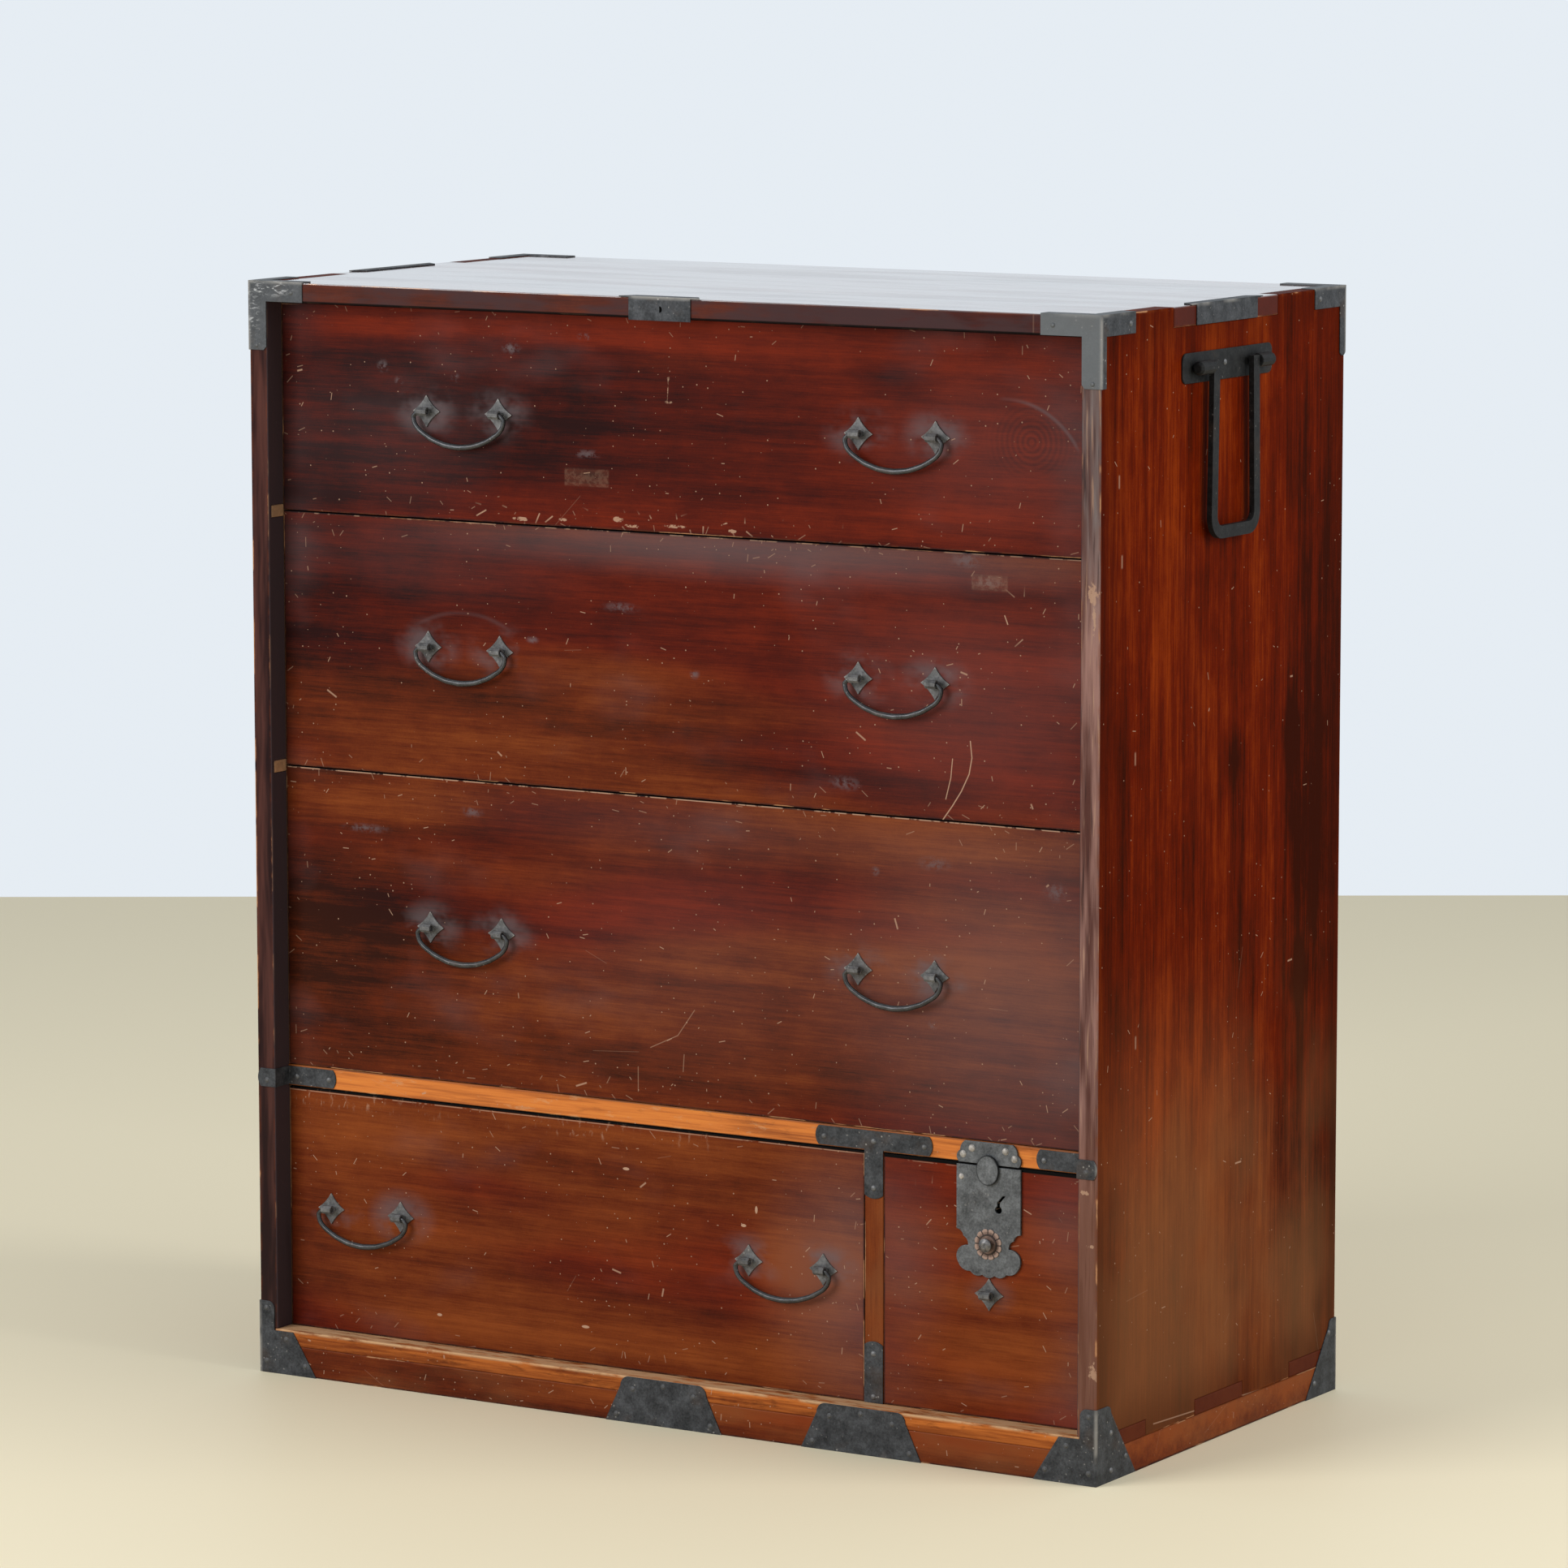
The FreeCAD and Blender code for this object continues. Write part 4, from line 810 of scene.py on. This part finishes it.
def side_finish(looks, side, seed):
    """A side of the case: upright grain, flame red above and browner below."""
    f, p, (x, y, z) = begin("side_%s_lacquer" % side)
    plane = f.join(y, z)
    low_down = f.fade(z, 440, 120)
    tone = clouds(f, plane, (0.05, -80, 740, 160, 260), (-0.07, 165, 620, 90, 400),
                  (0.07, -100, 250, 160, 200), (-0.1, 12, 545, 30, 45), (-0.12, 116, 559, 22, 50),
                  (-0.11, 134, 358, 24, 40), (0.03, -120, 500, 100, 220), (0.035, 130, 680, 70, 160),
                  (-0.06, 0, 700, 70, 130))
    lacquer(f, looks, p, "Z", seed, tone - 0.006, low_down * 0.5 - 0.22, "flame", 1.5)
    drift = f.noise(p * (6, 6, 4) + seed, 3, 0.6)
    haze(f, low_down * f.step(drift, 0.28, 0.6) * 0.58, looks.dust)
    gap = edge_gap(f, p, *middle_half("side_panel_" + side))
    f.lay(f.fade(gap, 55, 0) * 0.45, looks.flame_dark, 0.4)
    tenons = [patch(f, plane, (-away, up), (4, 12), 2) for away, up in TENON_ENDS]
    f.lay(reduce(Wire.most, tenons) * 0.45, looks.chip, 0.7)
    f.lay(scratch(f, plane, 0.8, (-109, 32), (169, 21)) * 0.5, looks.chip, 0.7)
    scattered_wear(f, looks, plane, seed, 0.45)
    worn_front(f, looks, p, (x, y, z), side)
    worn_edges(f, looks, p, gap, 1.5, seed, 0.16)
    # Painted shade: the side's inner face in front of the drawers is darkened.
    f.lay(f.fade(abs(x), 1.2, 0.4, INNER_X) * 0.92, shaded(looks.reveal, 3), 0.5)
    covered = f.fade(abs(x), 0.2, 0.8, INNER_X).most(f.fade(y, 1, 0, FACE_Y))
    bare_inside(f, looks, p, covered)
    return f.close(Coat_Weight=looks.side_gloss, Coat_Roughness=0.25, Specular_IOR_Level=0.003)


def top_finish(looks):
    """The top: glossy and hazed, the haze partly a painted reflection; its front edge dull and dark,
    with painted shade under it and behind its keyhole; its tongues darker at the sides.
    """
    f, p, (x, y, z) = begin("top_lacquer")
    middle, half = middle_half("top_panel")
    lacquer(f, looks, p, "X", 5)
    drift = f.noise(p * (3, 9, 3), 4, 0.6)
    worn = f.noise(p * (4, 24, 4), 5, 0.65)
    face = f.fade(z, -1.2, -0.4, CASE_HIGH.z)
    # Painted reflection, in part: the pale haze on the top face stands in for the wall's reflection,
    # over real bloom.
    haze(f, face * f.step(drift, 0.25, 0.7) * 0.75, looks.top_haze_and_reflection)
    edge = front_edge(f, y)
    stain = f.noise(p * (16, 16, 60), 3, 0.6)
    f.lay(edge * (f.step(stain, 0.34, 0.58) * 0.6 + 0.3), looks.top_edge, 0.5)
    f.lay(f.fade(abs(x), 2, 3, CHEEK_X) * 0.8, looks.tongue, 0.4)
    scattered_wear(f, looks, f.join(x, y), 9, 0.6)
    worn_edges(f, looks, p, edge_gap(f, p, middle, half), 1.2, 9)
    # Painted shadow: a black strip along the bottom of the top's front edge, above the first drawer.
    f.lay(edge * f.fade(z, 1.9, 1, middle.z - half.z) * 0.95, looks.hole, 0.6)
    bare_inside(f, looks, p, f.fade(z, -16, -15.5, CASE_HIGH.z).most(f.fade(y, 1, 0, FACE_Y)))
    # Painted shade: a dark disc on the top's front edge behind the keyhole of its lock plate.
    keyhole = (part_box("top_lock_plate")[0][2] + CASE_HIGH.z) / 2
    f.lay(edge * f.fade(f.join(x, z - keyhole).length(), 4.2, 3.8), looks.hole, 0.9)
    f.coat = looks.gloss + face * (0.78 + f.step(worn, 0.36, 0.58) * 0.19)
    f.roughness = f.roughness - face * 0.22
    return f.close(Coat_Roughness=0.07, Coat_IOR=1.65, Specular_IOR_Level=0.03)


def bottom_finish(looks):
    """The bottom board: its front edge bright and worn, with painted light brightening it to the right,
    pale on the ledge before the drawers.
    """
    f, p, (x, y, z) = begin("bottom_lacquer")
    lacquer(f, looks, p, "X", 12, 0.08, 0.25)
    grain = f.noise(p * (12, 300, 300), 4, 0.65)
    front = f.fade(y, 20.5, 19.5, CASE_LOW.y)
    # Painted light: the worn wood of the front edge is stronger to the right.
    bright = f.fade(x, -300, 100) * 0.3 + 0.62
    f.lay(front * f.step(grain, 0.3, 0.7) * bright, looks.rail_wood, 0.45)
    grime = f.noise(p * (30, 120, 120), 4, 0.7)
    f.lay(front * f.step(grime, 0.52, 0.68) * 0.5, looks.amber_dark, 0.6)
    ledge = f.fade(z, -3, -0.5, FLOOR_Z) * front
    worn = f.noise(p * (34, 170, 60), 4, 0.65)
    f.lay(ledge * f.step(worn, 0.66, 0.44) * 0.9, looks.ledge, 0.75)
    f.lay(front_edge(f, y) * f.fade(z, -6, -11, FLOOR_Z) * 0.35, looks.amber, 0.5)
    scattered_wear(f, looks, f.join(x, z), 14, 1.6)
    f.lay(f.fade(abs(x), 2, 3, CHEEK_X) * 0.8, looks.tongue, 0.5)
    bare_inside(f, looks, p, front.most(f.fade(abs(x), 0, 1, CHEEK_X)))
    return f.close(**BOARD_SHINE)


def plinth_finish(looks):
    """The plinth: dusty, with painted light brightening it to the right and painted shade darkening it
    where it meets the floor.
    """
    f, p, (x, y, z) = begin("plinth_lacquer")
    # Painted light: the lacquer is lifted brighter to the right and upwards.
    lit = f.fade(x, -250, 200) * f.fade(z, 2, 22)
    lacquer(f, looks, p, "X", 17, lit * 0.09 + 0.03, 0.25)
    drift = f.noise(p * (9, 9, 20), 3, 0.6)
    haze(f, f.step(drift, 0.4, 0.75) * 0.4, looks.dust)
    gap = edge_gap(f, p, *middle_half("plinth_rails"))
    scattered_wear(f, looks, f.join(x + y, z), 2, 1.8)
    # Painted shade: dark along the plinth's low edges where it meets the floor.
    f.lay(f.fade(gap, 2.2, 0.6) * f.fade(z, 8, 4) * 0.7, looks.reveal, 0.6)
    worn_edges(f, looks, p, gap, 1.4, 4)
    return f.close(**BOARD_SHINE)


def rail_finish(looks):
    """The middle rail, its lacquer worn to an orange stain, with a painted shadow along its lower edge.
    """
    f, p, (x, _, z) = begin("rail_stain")
    middle, half = middle_half("middle_rail")
    grain = f.noise(p * (9, 260, 260), 4, 0.6)
    tone = f.ramp(grain, [(0.25, looks.amber_bright), (0.5, looks.rail_wood), (0.8, looks.rail_bright)])
    fine = f.noise(p * (30, 700, 700), 2)
    f.base(tone, 0.42 + fine * 0.15)
    grime = f.noise(p * (26, 90, 90), 4, 0.7)
    f.lay(f.step(grime, 0.55, 0.72) * 0.34, looks.amber_dark, 0.6)
    f.raise_by(fine * 0.00006)
    edges = f.fade(edge_gap(f, p, middle, half), 1.6, 0.6)
    f.lay(edges * f.step(grain, 0.3, 0.5) * 0.7, looks.cherry_dark, 0.5)
    # Painted shadow: a black strip along the rail's lower edge.
    f.lay(f.fade(z, 0.9, 0.4, middle.z - half.z), looks.hole, 0.6)
    stain = f.noise(p * (40, 150, 150), 5, 0.7)
    f.lay(f.step(stain, 0.58, 0.7) * 0.35, looks.ledge, 0.6)
    scattered_wear(f, looks, f.join(x, z), 6, 0.9)
    return f.close(Coat_Weight=0.05, Coat_Roughness=0.3, Specular_IOR_Level=0.1)


def post_finish(looks):
    """The divider post: dusty, its edges much chipped."""
    f, p, (x, _, z) = begin("post_lacquer")
    lacquer(f, looks, p, "Z", 23, 0.06, 0.15)
    haze(f, f.step(f.noise(p * (20, 20, 8), 3), 0.35, 0.6) * 0.45, looks.dust)
    scattered_wear(f, looks, f.join(x, z), 8)
    worn_edges(f, looks, p, edge_gap(f, p, *middle_half("divider_post")), 1.4, 8, 0.2)
    return f.close(**BOARD_SHINE)


def inner_finish(looks, name, along):
    """Bare softwood darkened by age, its grain along X, or along Y in the sides of the drawers."""
    f = Finish(name)
    p = f.place()
    stretches = (5, 70, 70), (16, 600, 600)
    if along == "Y":
        stretches = (70, 5, 70), (600, 16, 600)
    grain, fine = (f.noise(p * stretch, 4, 0.6, 0.4) for stretch in stretches)
    tone = f.ramp(grain, [(0.28, shaded(looks.inner_wood, 0.62)), (0.5, looks.inner_wood),
                          (0.72, looks.bare_wood)])
    f.base(tone, 0.62 + fine * 0.2)
    f.lay(f.step(fine, 0.52, 0.66) * 0.25, shaded(looks.inner_wood, 0.5), 0.7)
    f.raise_by(fine * 0.00008)
    return f.close()


# Finishes of the metal

# The box about the irons. It reaches below the floor, since nothing rubs the feet of the irons.
IRON_LOW = Vector((POST_STAND - cad_box[1][0], cad_box[0][1], -0.1))
IRON_HIGH = Vector((cad_box[1][0] - POST_STAND, cad_box[1][1], cad_box[1][2]))
IRON_MIDDLE, IRON_HALF = (IRON_LOW + IRON_HIGH) / 2, (IRON_HIGH - IRON_LOW) / 2


def iron_finish(looks, name, tint, wear=1, rusty=0.35, rough=0.38):
    """Blackened iron: mottled, flecked, brown in places and rubbed pale along the outer edges."""
    f = Finish(name)
    p = f.place()
    grit = f.noise(p * 520, 3, 0.7)
    mottle = f.noise(p * 95, 4, 0.65)
    blotch = f.noise(p * 26, 3, 0.6)
    tone = f.ramp(mottle * 0.6 + grit * 0.4, [(0.36, shaded(tint, 0.5)), (0.5, tint),
                                              (0.66, shaded(tint, 1.7))])
    f.base(tone, rough + mottle * 0.28)
    f.lay(f.step(blotch, 0.54, 0.7) * rusty, looks.rust, 0.7)
    rubbed = f.fade(edge_gap(f, p, IRON_MIDDLE, IRON_HALF), 3.5, 0) * f.step(blotch, 0.36, 0.58) * 0.7
    cell = f.add("ShaderNodeTexVoronoi", values={"Vector": p, "Scale": 210})
    flecks = f.step(cell, 0.22, 0.08) * f.step(blotch + grit, 1.02, 1.12)
    f.lay((rubbed + flecks * 0.7) * wear, looks.iron_worn_and_glint, 0.5)
    f.raise_by(mottle * 0.00012 + blotch * 0.0002)
    return f, p


def plain_iron(looks, name, tint, metal=0.3, wear=1, rusty=0.35, rough=0.38, shine=0.06):
    f, _ = iron_finish(looks, name, tint, wear, rusty, rough)
    return f.close(Metallic=metal, Specular_IOR_Level=shine)


def mount_finish(looks, drawer):
    """The plates and eyes of a drawer's pulls, with a painted highlight on the upper and side edges of
    the plates.
    """
    f, p = iron_finish(looks, drawer + "_mount_iron", looks.mount_iron)
    x, _, z = f.parts(p)
    along, up, half = plate_way(x, z, drawer)
    # Painted highlight: a pale rim on the plates' upper and side edges, where the light catches them.
    rim = f.fade(abs(along) + abs(up), -1.3, -0.6, half)
    lit = f.fade(up, -4, 4).most(f.fade(along, -2, 6))
    f.lay(rim * lit * f.step(f.noise(p * 130, 3), 0.32, 0.52) * 0.75, looks.iron_worn_and_glint, 0.45)
    return f.close(**IRON_SHINE)


# Nails on the front of the corner irons, and on one foot plate as seen from its middle
CORNER_NAILS = ((393, 55), (373, 30), (354, 9), (393, 10), (392, 860), (357, 904), (389.7, 248.3))
FOOT_NAILS = ((45, 6), (29, 28), (0, 33))
FOOT_PLATE_X = 0.093


def nailed_iron(looks):
    """The irons that wrap the case's corners and foot, with their nail heads and the scratches of
    the top left corner."""
    f, p = iron_finish(looks, "nailed_iron", looks.iron)
    x, y, z = f.parts(p)
    outer = f.join(abs(x), z)
    foot = f.join(abs(abs(x - FOOT_PLATE_X) - FOOT_PLATE_X), z)
    gaps = [(outer - point(place)).length() for place in CORNER_NAILS]
    gaps += [(foot - point(place)).length().most(abs(x) - 0.3) for place in FOOT_NAILS]
    gap = reduce(Wire.least, gaps).most(-cad_box[0][1] - 0.3 * MM - abs(y))
    f.lay(f.step(gap, looks.nail_radius, 0.85 * looks.nail_radius) * 0.65, looks.nail, 0.4)
    f.raise_by(f.step(gap, looks.nail_radius, 0.3 * looks.nail_radius) * looks.nail_rise)
    plane = f.join(x, z)
    front = f.fade(abs(x), 0.2, -0.4, CASE_HIGH.x)
    f.lay(f.fade(z, 790, 870) * front * (f.fade(x, 0, 100) * 0.45 + 0.25), looks.iron_grey, 0.6)
    smear = f.noise(plane * (110, 330, 1), 4, 0.65, 1.5)
    smears = f.step(smear, 0.52, 0.66) * clouds(f, plane, (1, -380, 907, 34, 9),
                                                (0.7, -396, 885, 10, 30))
    f.lay(smears * 0.85, looks.smear, 0.5)
    return f.close(**IRON_SHINE)


def span(f, p, node):
    """A point's place on a piece's face: 0 at its middle, 1 at its edges, along X and up."""
    x, _, z = f.parts(p)
    middle, half = middle_half(node)
    return (x - middle.x) / half.x, (z - middle.z) / half.z


def slide_iron(looks):
    """The thumb slide: a little brighter than its plate, with painted shade along its rim."""
    f, p = iron_finish(looks, "slide_iron", shaded(looks.plate_iron, 1.2), 0.6, 0.1)
    rim = f.join(*span(f, p, "lock_slide")).length()
    # Painted shade: the slide's rim is darkened where it stands proud of the plate.
    f.lay(f.step(rim, 0.88, 0.98) * 0.75, looks.hole, 0.6)
    return f.close(Metallic=0.35, Specular_IOR_Level=0.06)


def brass_finish(looks):
    """The rosette: petals rubbed pale at their tips, dark between them and about the collar."""
    f = Finish("worn_brass")
    p = f.place()
    x, z = span(f, p, "lock_rosette")
    reach = f.join(x, z).length()
    petals = abs((z.arctan2(x) * 6).sine())
    mottle = f.noise(p * 300, 4, 0.7)
    f.base(f.ramp(mottle, [(0.35, shaded(looks.brass, 0.45)), (0.6, looks.brass)]), 0.35 + mottle * 0.3)
    f.lay(f.step(reach, 0.76, 0.9) * 0.75, looks.brass_worn, 0.5)
    f.lay(f.step(petals, 0.42, 0.14) * f.step(reach, 0.62, 0.72) * 0.85, looks.hole, 0.7)
    f.lay(f.step(abs(reach - 0.64), 0.09, 0.03) * 0.75, looks.hole, 0.7)
    f.raise_by(mottle * 0.0001)
    return f.close(Metallic=0.5)


def steel_finish(looks):
    """The push button, its steel bright where the black has gone."""
    f = Finish("button_steel")
    mottle = f.noise(f.place() * 400, 4, 0.7)
    f.base(f.ramp(mottle, [(0.35, looks.iron), (0.62, looks.steel)]), 0.25 + mottle * 0.3)
    return f.close(Metallic=0.6)


# Operators

class CHEST_OT_case(bpy.types.Operator):
    """Lacquer the case: sides, top, bottom, plinth, rail and divider"""

    bl_idname = "chest.case"
    bl_label = "Case"

    def execute(self, context):
        looks = context.scene.chest_looks
        finishes = {
            "top_panel": top_finish(looks), "bottom_panel": bottom_finish(looks),
            "side_panel_right": side_finish(looks, "right", 3),
            "side_panel_left": side_finish(looks, "left", 8),
            "plinth_rails": plinth_finish(looks), "middle_rail": rail_finish(looks),
            "divider_post": post_finish(looks)}
        for node, material in finishes.items():
            dress([node], material, looks.board_edge)
        return {"FINISHED"}


class CHEST_OT_inner_boards(bpy.types.Operator):
    """Finish the shelves, the partition and the back boards"""

    bl_idname = "chest.inner_boards"
    bl_label = "Inner boards"

    def execute(self, context):
        looks = context.scene.chest_looks
        across = inner_finish(looks, "inner_wood", "X")
        deep = inner_finish(looks, "drawer_side_wood", "Y")
        dress(("shelf_upper", "shelf_middle", "shelf_lower", "partition_board", "back_boards"),
              across, looks.board_edge)
        for drawer in DRAWERS:
            paint(drawer + "_walls", deep)
            paint(drawer + "_bottom", across)
        return {"FINISHED"}


class CHEST_OT_drawer_fronts(bpy.types.Operator):
    """Lacquer the five drawer fronts, each with its own wear"""

    bl_idname = "chest.drawer_fronts"
    bl_label = "Drawer fronts"

    def execute(self, context):
        looks = context.scene.chest_looks
        for number, drawer in enumerate(DRAWERS):
            dress([drawer + "_front"], front_finish(looks, drawer, 11 * number), looks.board_edge)
        return {"FINISHED"}


class CHEST_OT_case_irons(bpy.types.Operator):
    """Finish the corner irons, straps and plates of the case"""

    bl_idname = "chest.case_irons"
    bl_label = "Case irons"

    def execute(self, context):
        looks = context.scene.chest_looks
        dress(("top_corner_irons", "base_plates", "base_corner_irons", "rail_straps"),
              nailed_iron(looks), looks.iron_edge)
        dress(("top_lock_plate", "top_edge_straps", "tee_strap", "divider_foot_strap"),
              plain_iron(looks, "case_iron", looks.iron), looks.iron_edge)
        return {"FINISHED"}


class CHEST_OT_pulls(bpy.types.Operator):
    """Finish the drawer pulls and smooth their forged bails"""

    bl_idname = "chest.pulls"
    bl_label = "Drawer pulls"

    def execute(self, context):
        looks = context.scene.chest_looks
        bails = plain_iron(looks, "bail_iron", looks.bail_iron, 0.5, 0.8, rough=0.16, shine=0.6)
        for drawer in DRAWERS:
            dress([drawer + "_pull_mounts"], mount_finish(looks, drawer), looks.iron_edge)
        sides = "_bail_left", "_bail_right"
        for node in (drawer + side for drawer in WIDE_DRAWERS for side in sides):
            paint(node, bails)
            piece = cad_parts[node]
            piece.modifiers.new("weld", "WELD").merge_threshold = WELD_GAP
            smooth = piece.modifiers.new("forged", "SUBSURF")
            smooth.levels = smooth.render_levels = 2
            full = piece.modifiers.new("full", "DISPLACE")
            full.strength = looks.bail_fill
            full.mid_level = 0
        return {"FINISHED"}


class CHEST_OT_side_handles(bpy.types.Operator):
    """Finish the carrying handles, their posts and plates"""

    bl_idname = "chest.side_handles"
    bl_label = "Side handles"

    def execute(self, context):
        looks = context.scene.chest_looks
        dress(("side_handle_plates", "side_handle_posts", "side_handle_right", "side_handle_left"),
              plain_iron(looks, "handle_iron", looks.handle_iron, 0.3, 0.5), 2 * looks.iron_edge)
        return {"FINISHED"}


class CHEST_OT_lock(bpy.types.Operator):
    """Finish the lock: plate, rosette, button, thumb slide and strike"""

    bl_idname = "chest.lock"
    bl_label = "Lock"

    def execute(self, context):
        looks = context.scene.chest_looks
        iron = plain_iron(looks, "lock_iron", looks.plate_iron, 0.35, 0.8, 0.1)
        dress(("lock_plate", "lock_case", "lock_bolt", "strike_plate"), iron, looks.iron_edge)
        dress(["lock_slide"], slide_iron(looks), looks.iron_edge)
        dress(["lock_rosette"], brass_finish(looks), looks.iron_edge)
        dress(["lock_button"], steel_finish(looks), looks.iron_edge)
        return {"FINISHED"}


class CHEST_OT_nails(bpy.types.Operator):
    """Drive the nails that hold the ironwork"""

    bl_idname = "chest.nails"
    bl_label = "Nails"

    def execute(self, context):
        looks = context.scene.chest_looks
        dark = plain_iron(looks, "nail_iron", looks.nail, 0.6)
        worn = plain_iron(looks, "worn_nail", looks.nail_worn, 0.4)
        front = 0, -1, 0
        # The nails stand by the real ones' places, in metres from an edge or a middle.
        tee_low, tee_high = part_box("tee_strap")
        post_x = (tee_low[0] + tee_high[0]) / 2
        on_rail = (post_x - 0.046, post_x, post_x + 0.0465, -0.3735, -0.341, 0.341, 0.3735)
        places = [(x, tee_low[1], tee_high[2] - 0.0085) for x in on_rail]
        places += [(post_x, tee_low[1], z) for z in (tee_low[2] + 0.0086, 0.078, 0.043)]
        nail_heads("strap_nails", places, front, looks, dark, "case")
        strike, half = middle_half("strike_plate")
        places = [(strike.x + side * off, strike.y - half.y, strike.z - half.z + up)
                  for side in (-1, 1) for off, up in ((0.0232, 0.0065), (0.0152, 0.0118))]
        nail_heads("strike_nails", places, front, looks, worn, "case", 0.003)
        plate, half = middle_half("lock_plate")
        places = [(plate.x - 0.0244, plate.y - half.y, plate.z + half.z - 0.0098)]
        nail_heads("lock_nails", places, front, looks, worn, "drawer_5")
        corner_x, top_x, plate_x = (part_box(node)[1][0] for node in (
            "base_corner_irons", "top_corner_irons", "side_handle_plates"))
        for side, name in ((-1, "left"), (1, "right")):
            places = [(side * corner_x, y, z) for y, z in (
                (-0.18, 0.039), (-0.156, 0.016), (-0.18, 0.009), (0.19, 0.05), (0.165, 0.012))]
            places += [(side * top_x, y, 0.904) for y in (-0.158, 0.158)]
            places += [(side * plate_x, -0.005, 0.8644)]
            nail_heads("side_nails_" + name, places, (side, 0, 0), looks, dark, "case")
        return {"FINISHED"}


class CHEST_OT_stage(bpy.types.Operator):
    """Set up the floor, the light and the camera"""

    bl_idname = "chest.stage"
    bl_label = "Stage"

    def execute(self, context):
        stage = context.scene.chest_stage
        add_floor(stage)
        light_world(stage)
        add_lamp("key_window", stage.key_power, stage.key_place, stage.key_size)
        add_lamp("left_fill", stage.fill_power, stage.fill_place, stage.fill_size)
        add_camera(stage)
        context.scene.view_settings.view_transform = "Standard"
        return {"FINISHED"}


def add_floor(stage):
    reach = stage.floor_reach
    square = (-reach, -reach), (reach, -reach), (reach, reach), (-reach, reach)
    build = bmesh.new()
    build.faces.new([build.verts.new((*corner, 0)) for corner in square])
    bmesh.ops.subdivide_edges(build, edges=build.edges[:], cuts=8, use_grid_fill=True)
    f = Finish("studio_floor")
    f.base(tuple(stage.floor), 0.55)
    floor = add_mesh("floor", build, f.close(Specular_IOR_Level=0.1))
    floor.rotation_euler.z = stage.camera_turn


def light_world(stage):
    """Even light from all round. The wall's own colour is what the camera and gloss see."""
    world = bpy.data.worlds.new("studio")
    bpy.context.scene.world = world
    world.use_nodes = True
    sky = Nodes(world.node_tree)
    path = sky.add("ShaderNodeLightPath")
    seen = path.most(path.other("Is Glossy Ray")).most(path.other("Is Transmission Ray"))
    strength = stage.sky + seen * (1 - stage.sky)
    light = sky.add("ShaderNodeBackground", values={"Color": tuple(stage.wall), "Strength": strength})
    sky.add("ShaderNodeOutputWorld", values={"Surface": light})


def add_lamp(name, watts, place, size):
    """A large soft square lamp that looks at the middle of the chest."""
    light = bpy.data.lights.new(name, "AREA")
    light.energy = watts
    light.size = size
    lamp = add_object(name, light)
    lamp.location = place
    middle = Vector((0, 0, CASE_HIGH.z / 2))
    lamp.rotation_euler = (middle - Vector(place)).to_track_quat("-Z", "Y").to_euler()


def add_camera(stage):
    data = bpy.data.cameras.new("studio_camera")
    data.lens = stage.lens
    data.sensor_width = 36
    camera = add_object("studio_camera", data)
    camera.location = stage.camera_place
    camera.rotation_euler = (math.pi / 2 - stage.camera_dip, stage.camera_roll, stage.camera_turn)
    bpy.context.scene.camera = camera


OPERATORS = (CHEST_OT_case, CHEST_OT_inner_boards, CHEST_OT_drawer_fronts, CHEST_OT_case_irons,
             CHEST_OT_pulls, CHEST_OT_side_handles, CHEST_OT_lock, CHEST_OT_nails, CHEST_OT_stage)


class CHEST_PT_panel(bpy.types.Panel):
    """Buttons for the chest's pieces"""

    bl_idname = "CHEST_PT_panel"
    bl_label = "Tansu Chest"
    bl_space_type = "VIEW_3D"
    bl_region_type = "UI"
    bl_category = "Chest"

    def draw(self, context):
        for operator in OPERATORS:
            self.layout.operator(operator.bl_idname)
        for group in (context.scene.chest_looks, context.scene.chest_stage):
            for name in group.__annotations__:
                self.layout.prop(group, name)


CLASSES = (ChestLooks, ChestStage, *OPERATORS, CHEST_PT_panel)


def register():
    for item in CLASSES:
        bpy.utils.register_class(item)
    bpy.types.Scene.chest_looks = PointerProperty(type=ChestLooks)
    bpy.types.Scene.chest_stage = PointerProperty(type=ChestStage)


def unregister():
    del bpy.types.Scene.chest_stage
    del bpy.types.Scene.chest_looks
    for item in reversed(CLASSES):
        bpy.utils.unregister_class(item)


def main():
    register()
    for operator in OPERATORS:
        group, name = operator.bl_idname.split(".")
        getattr(getattr(bpy.ops, group), name)()


if __name__ == "__main__":
    main()
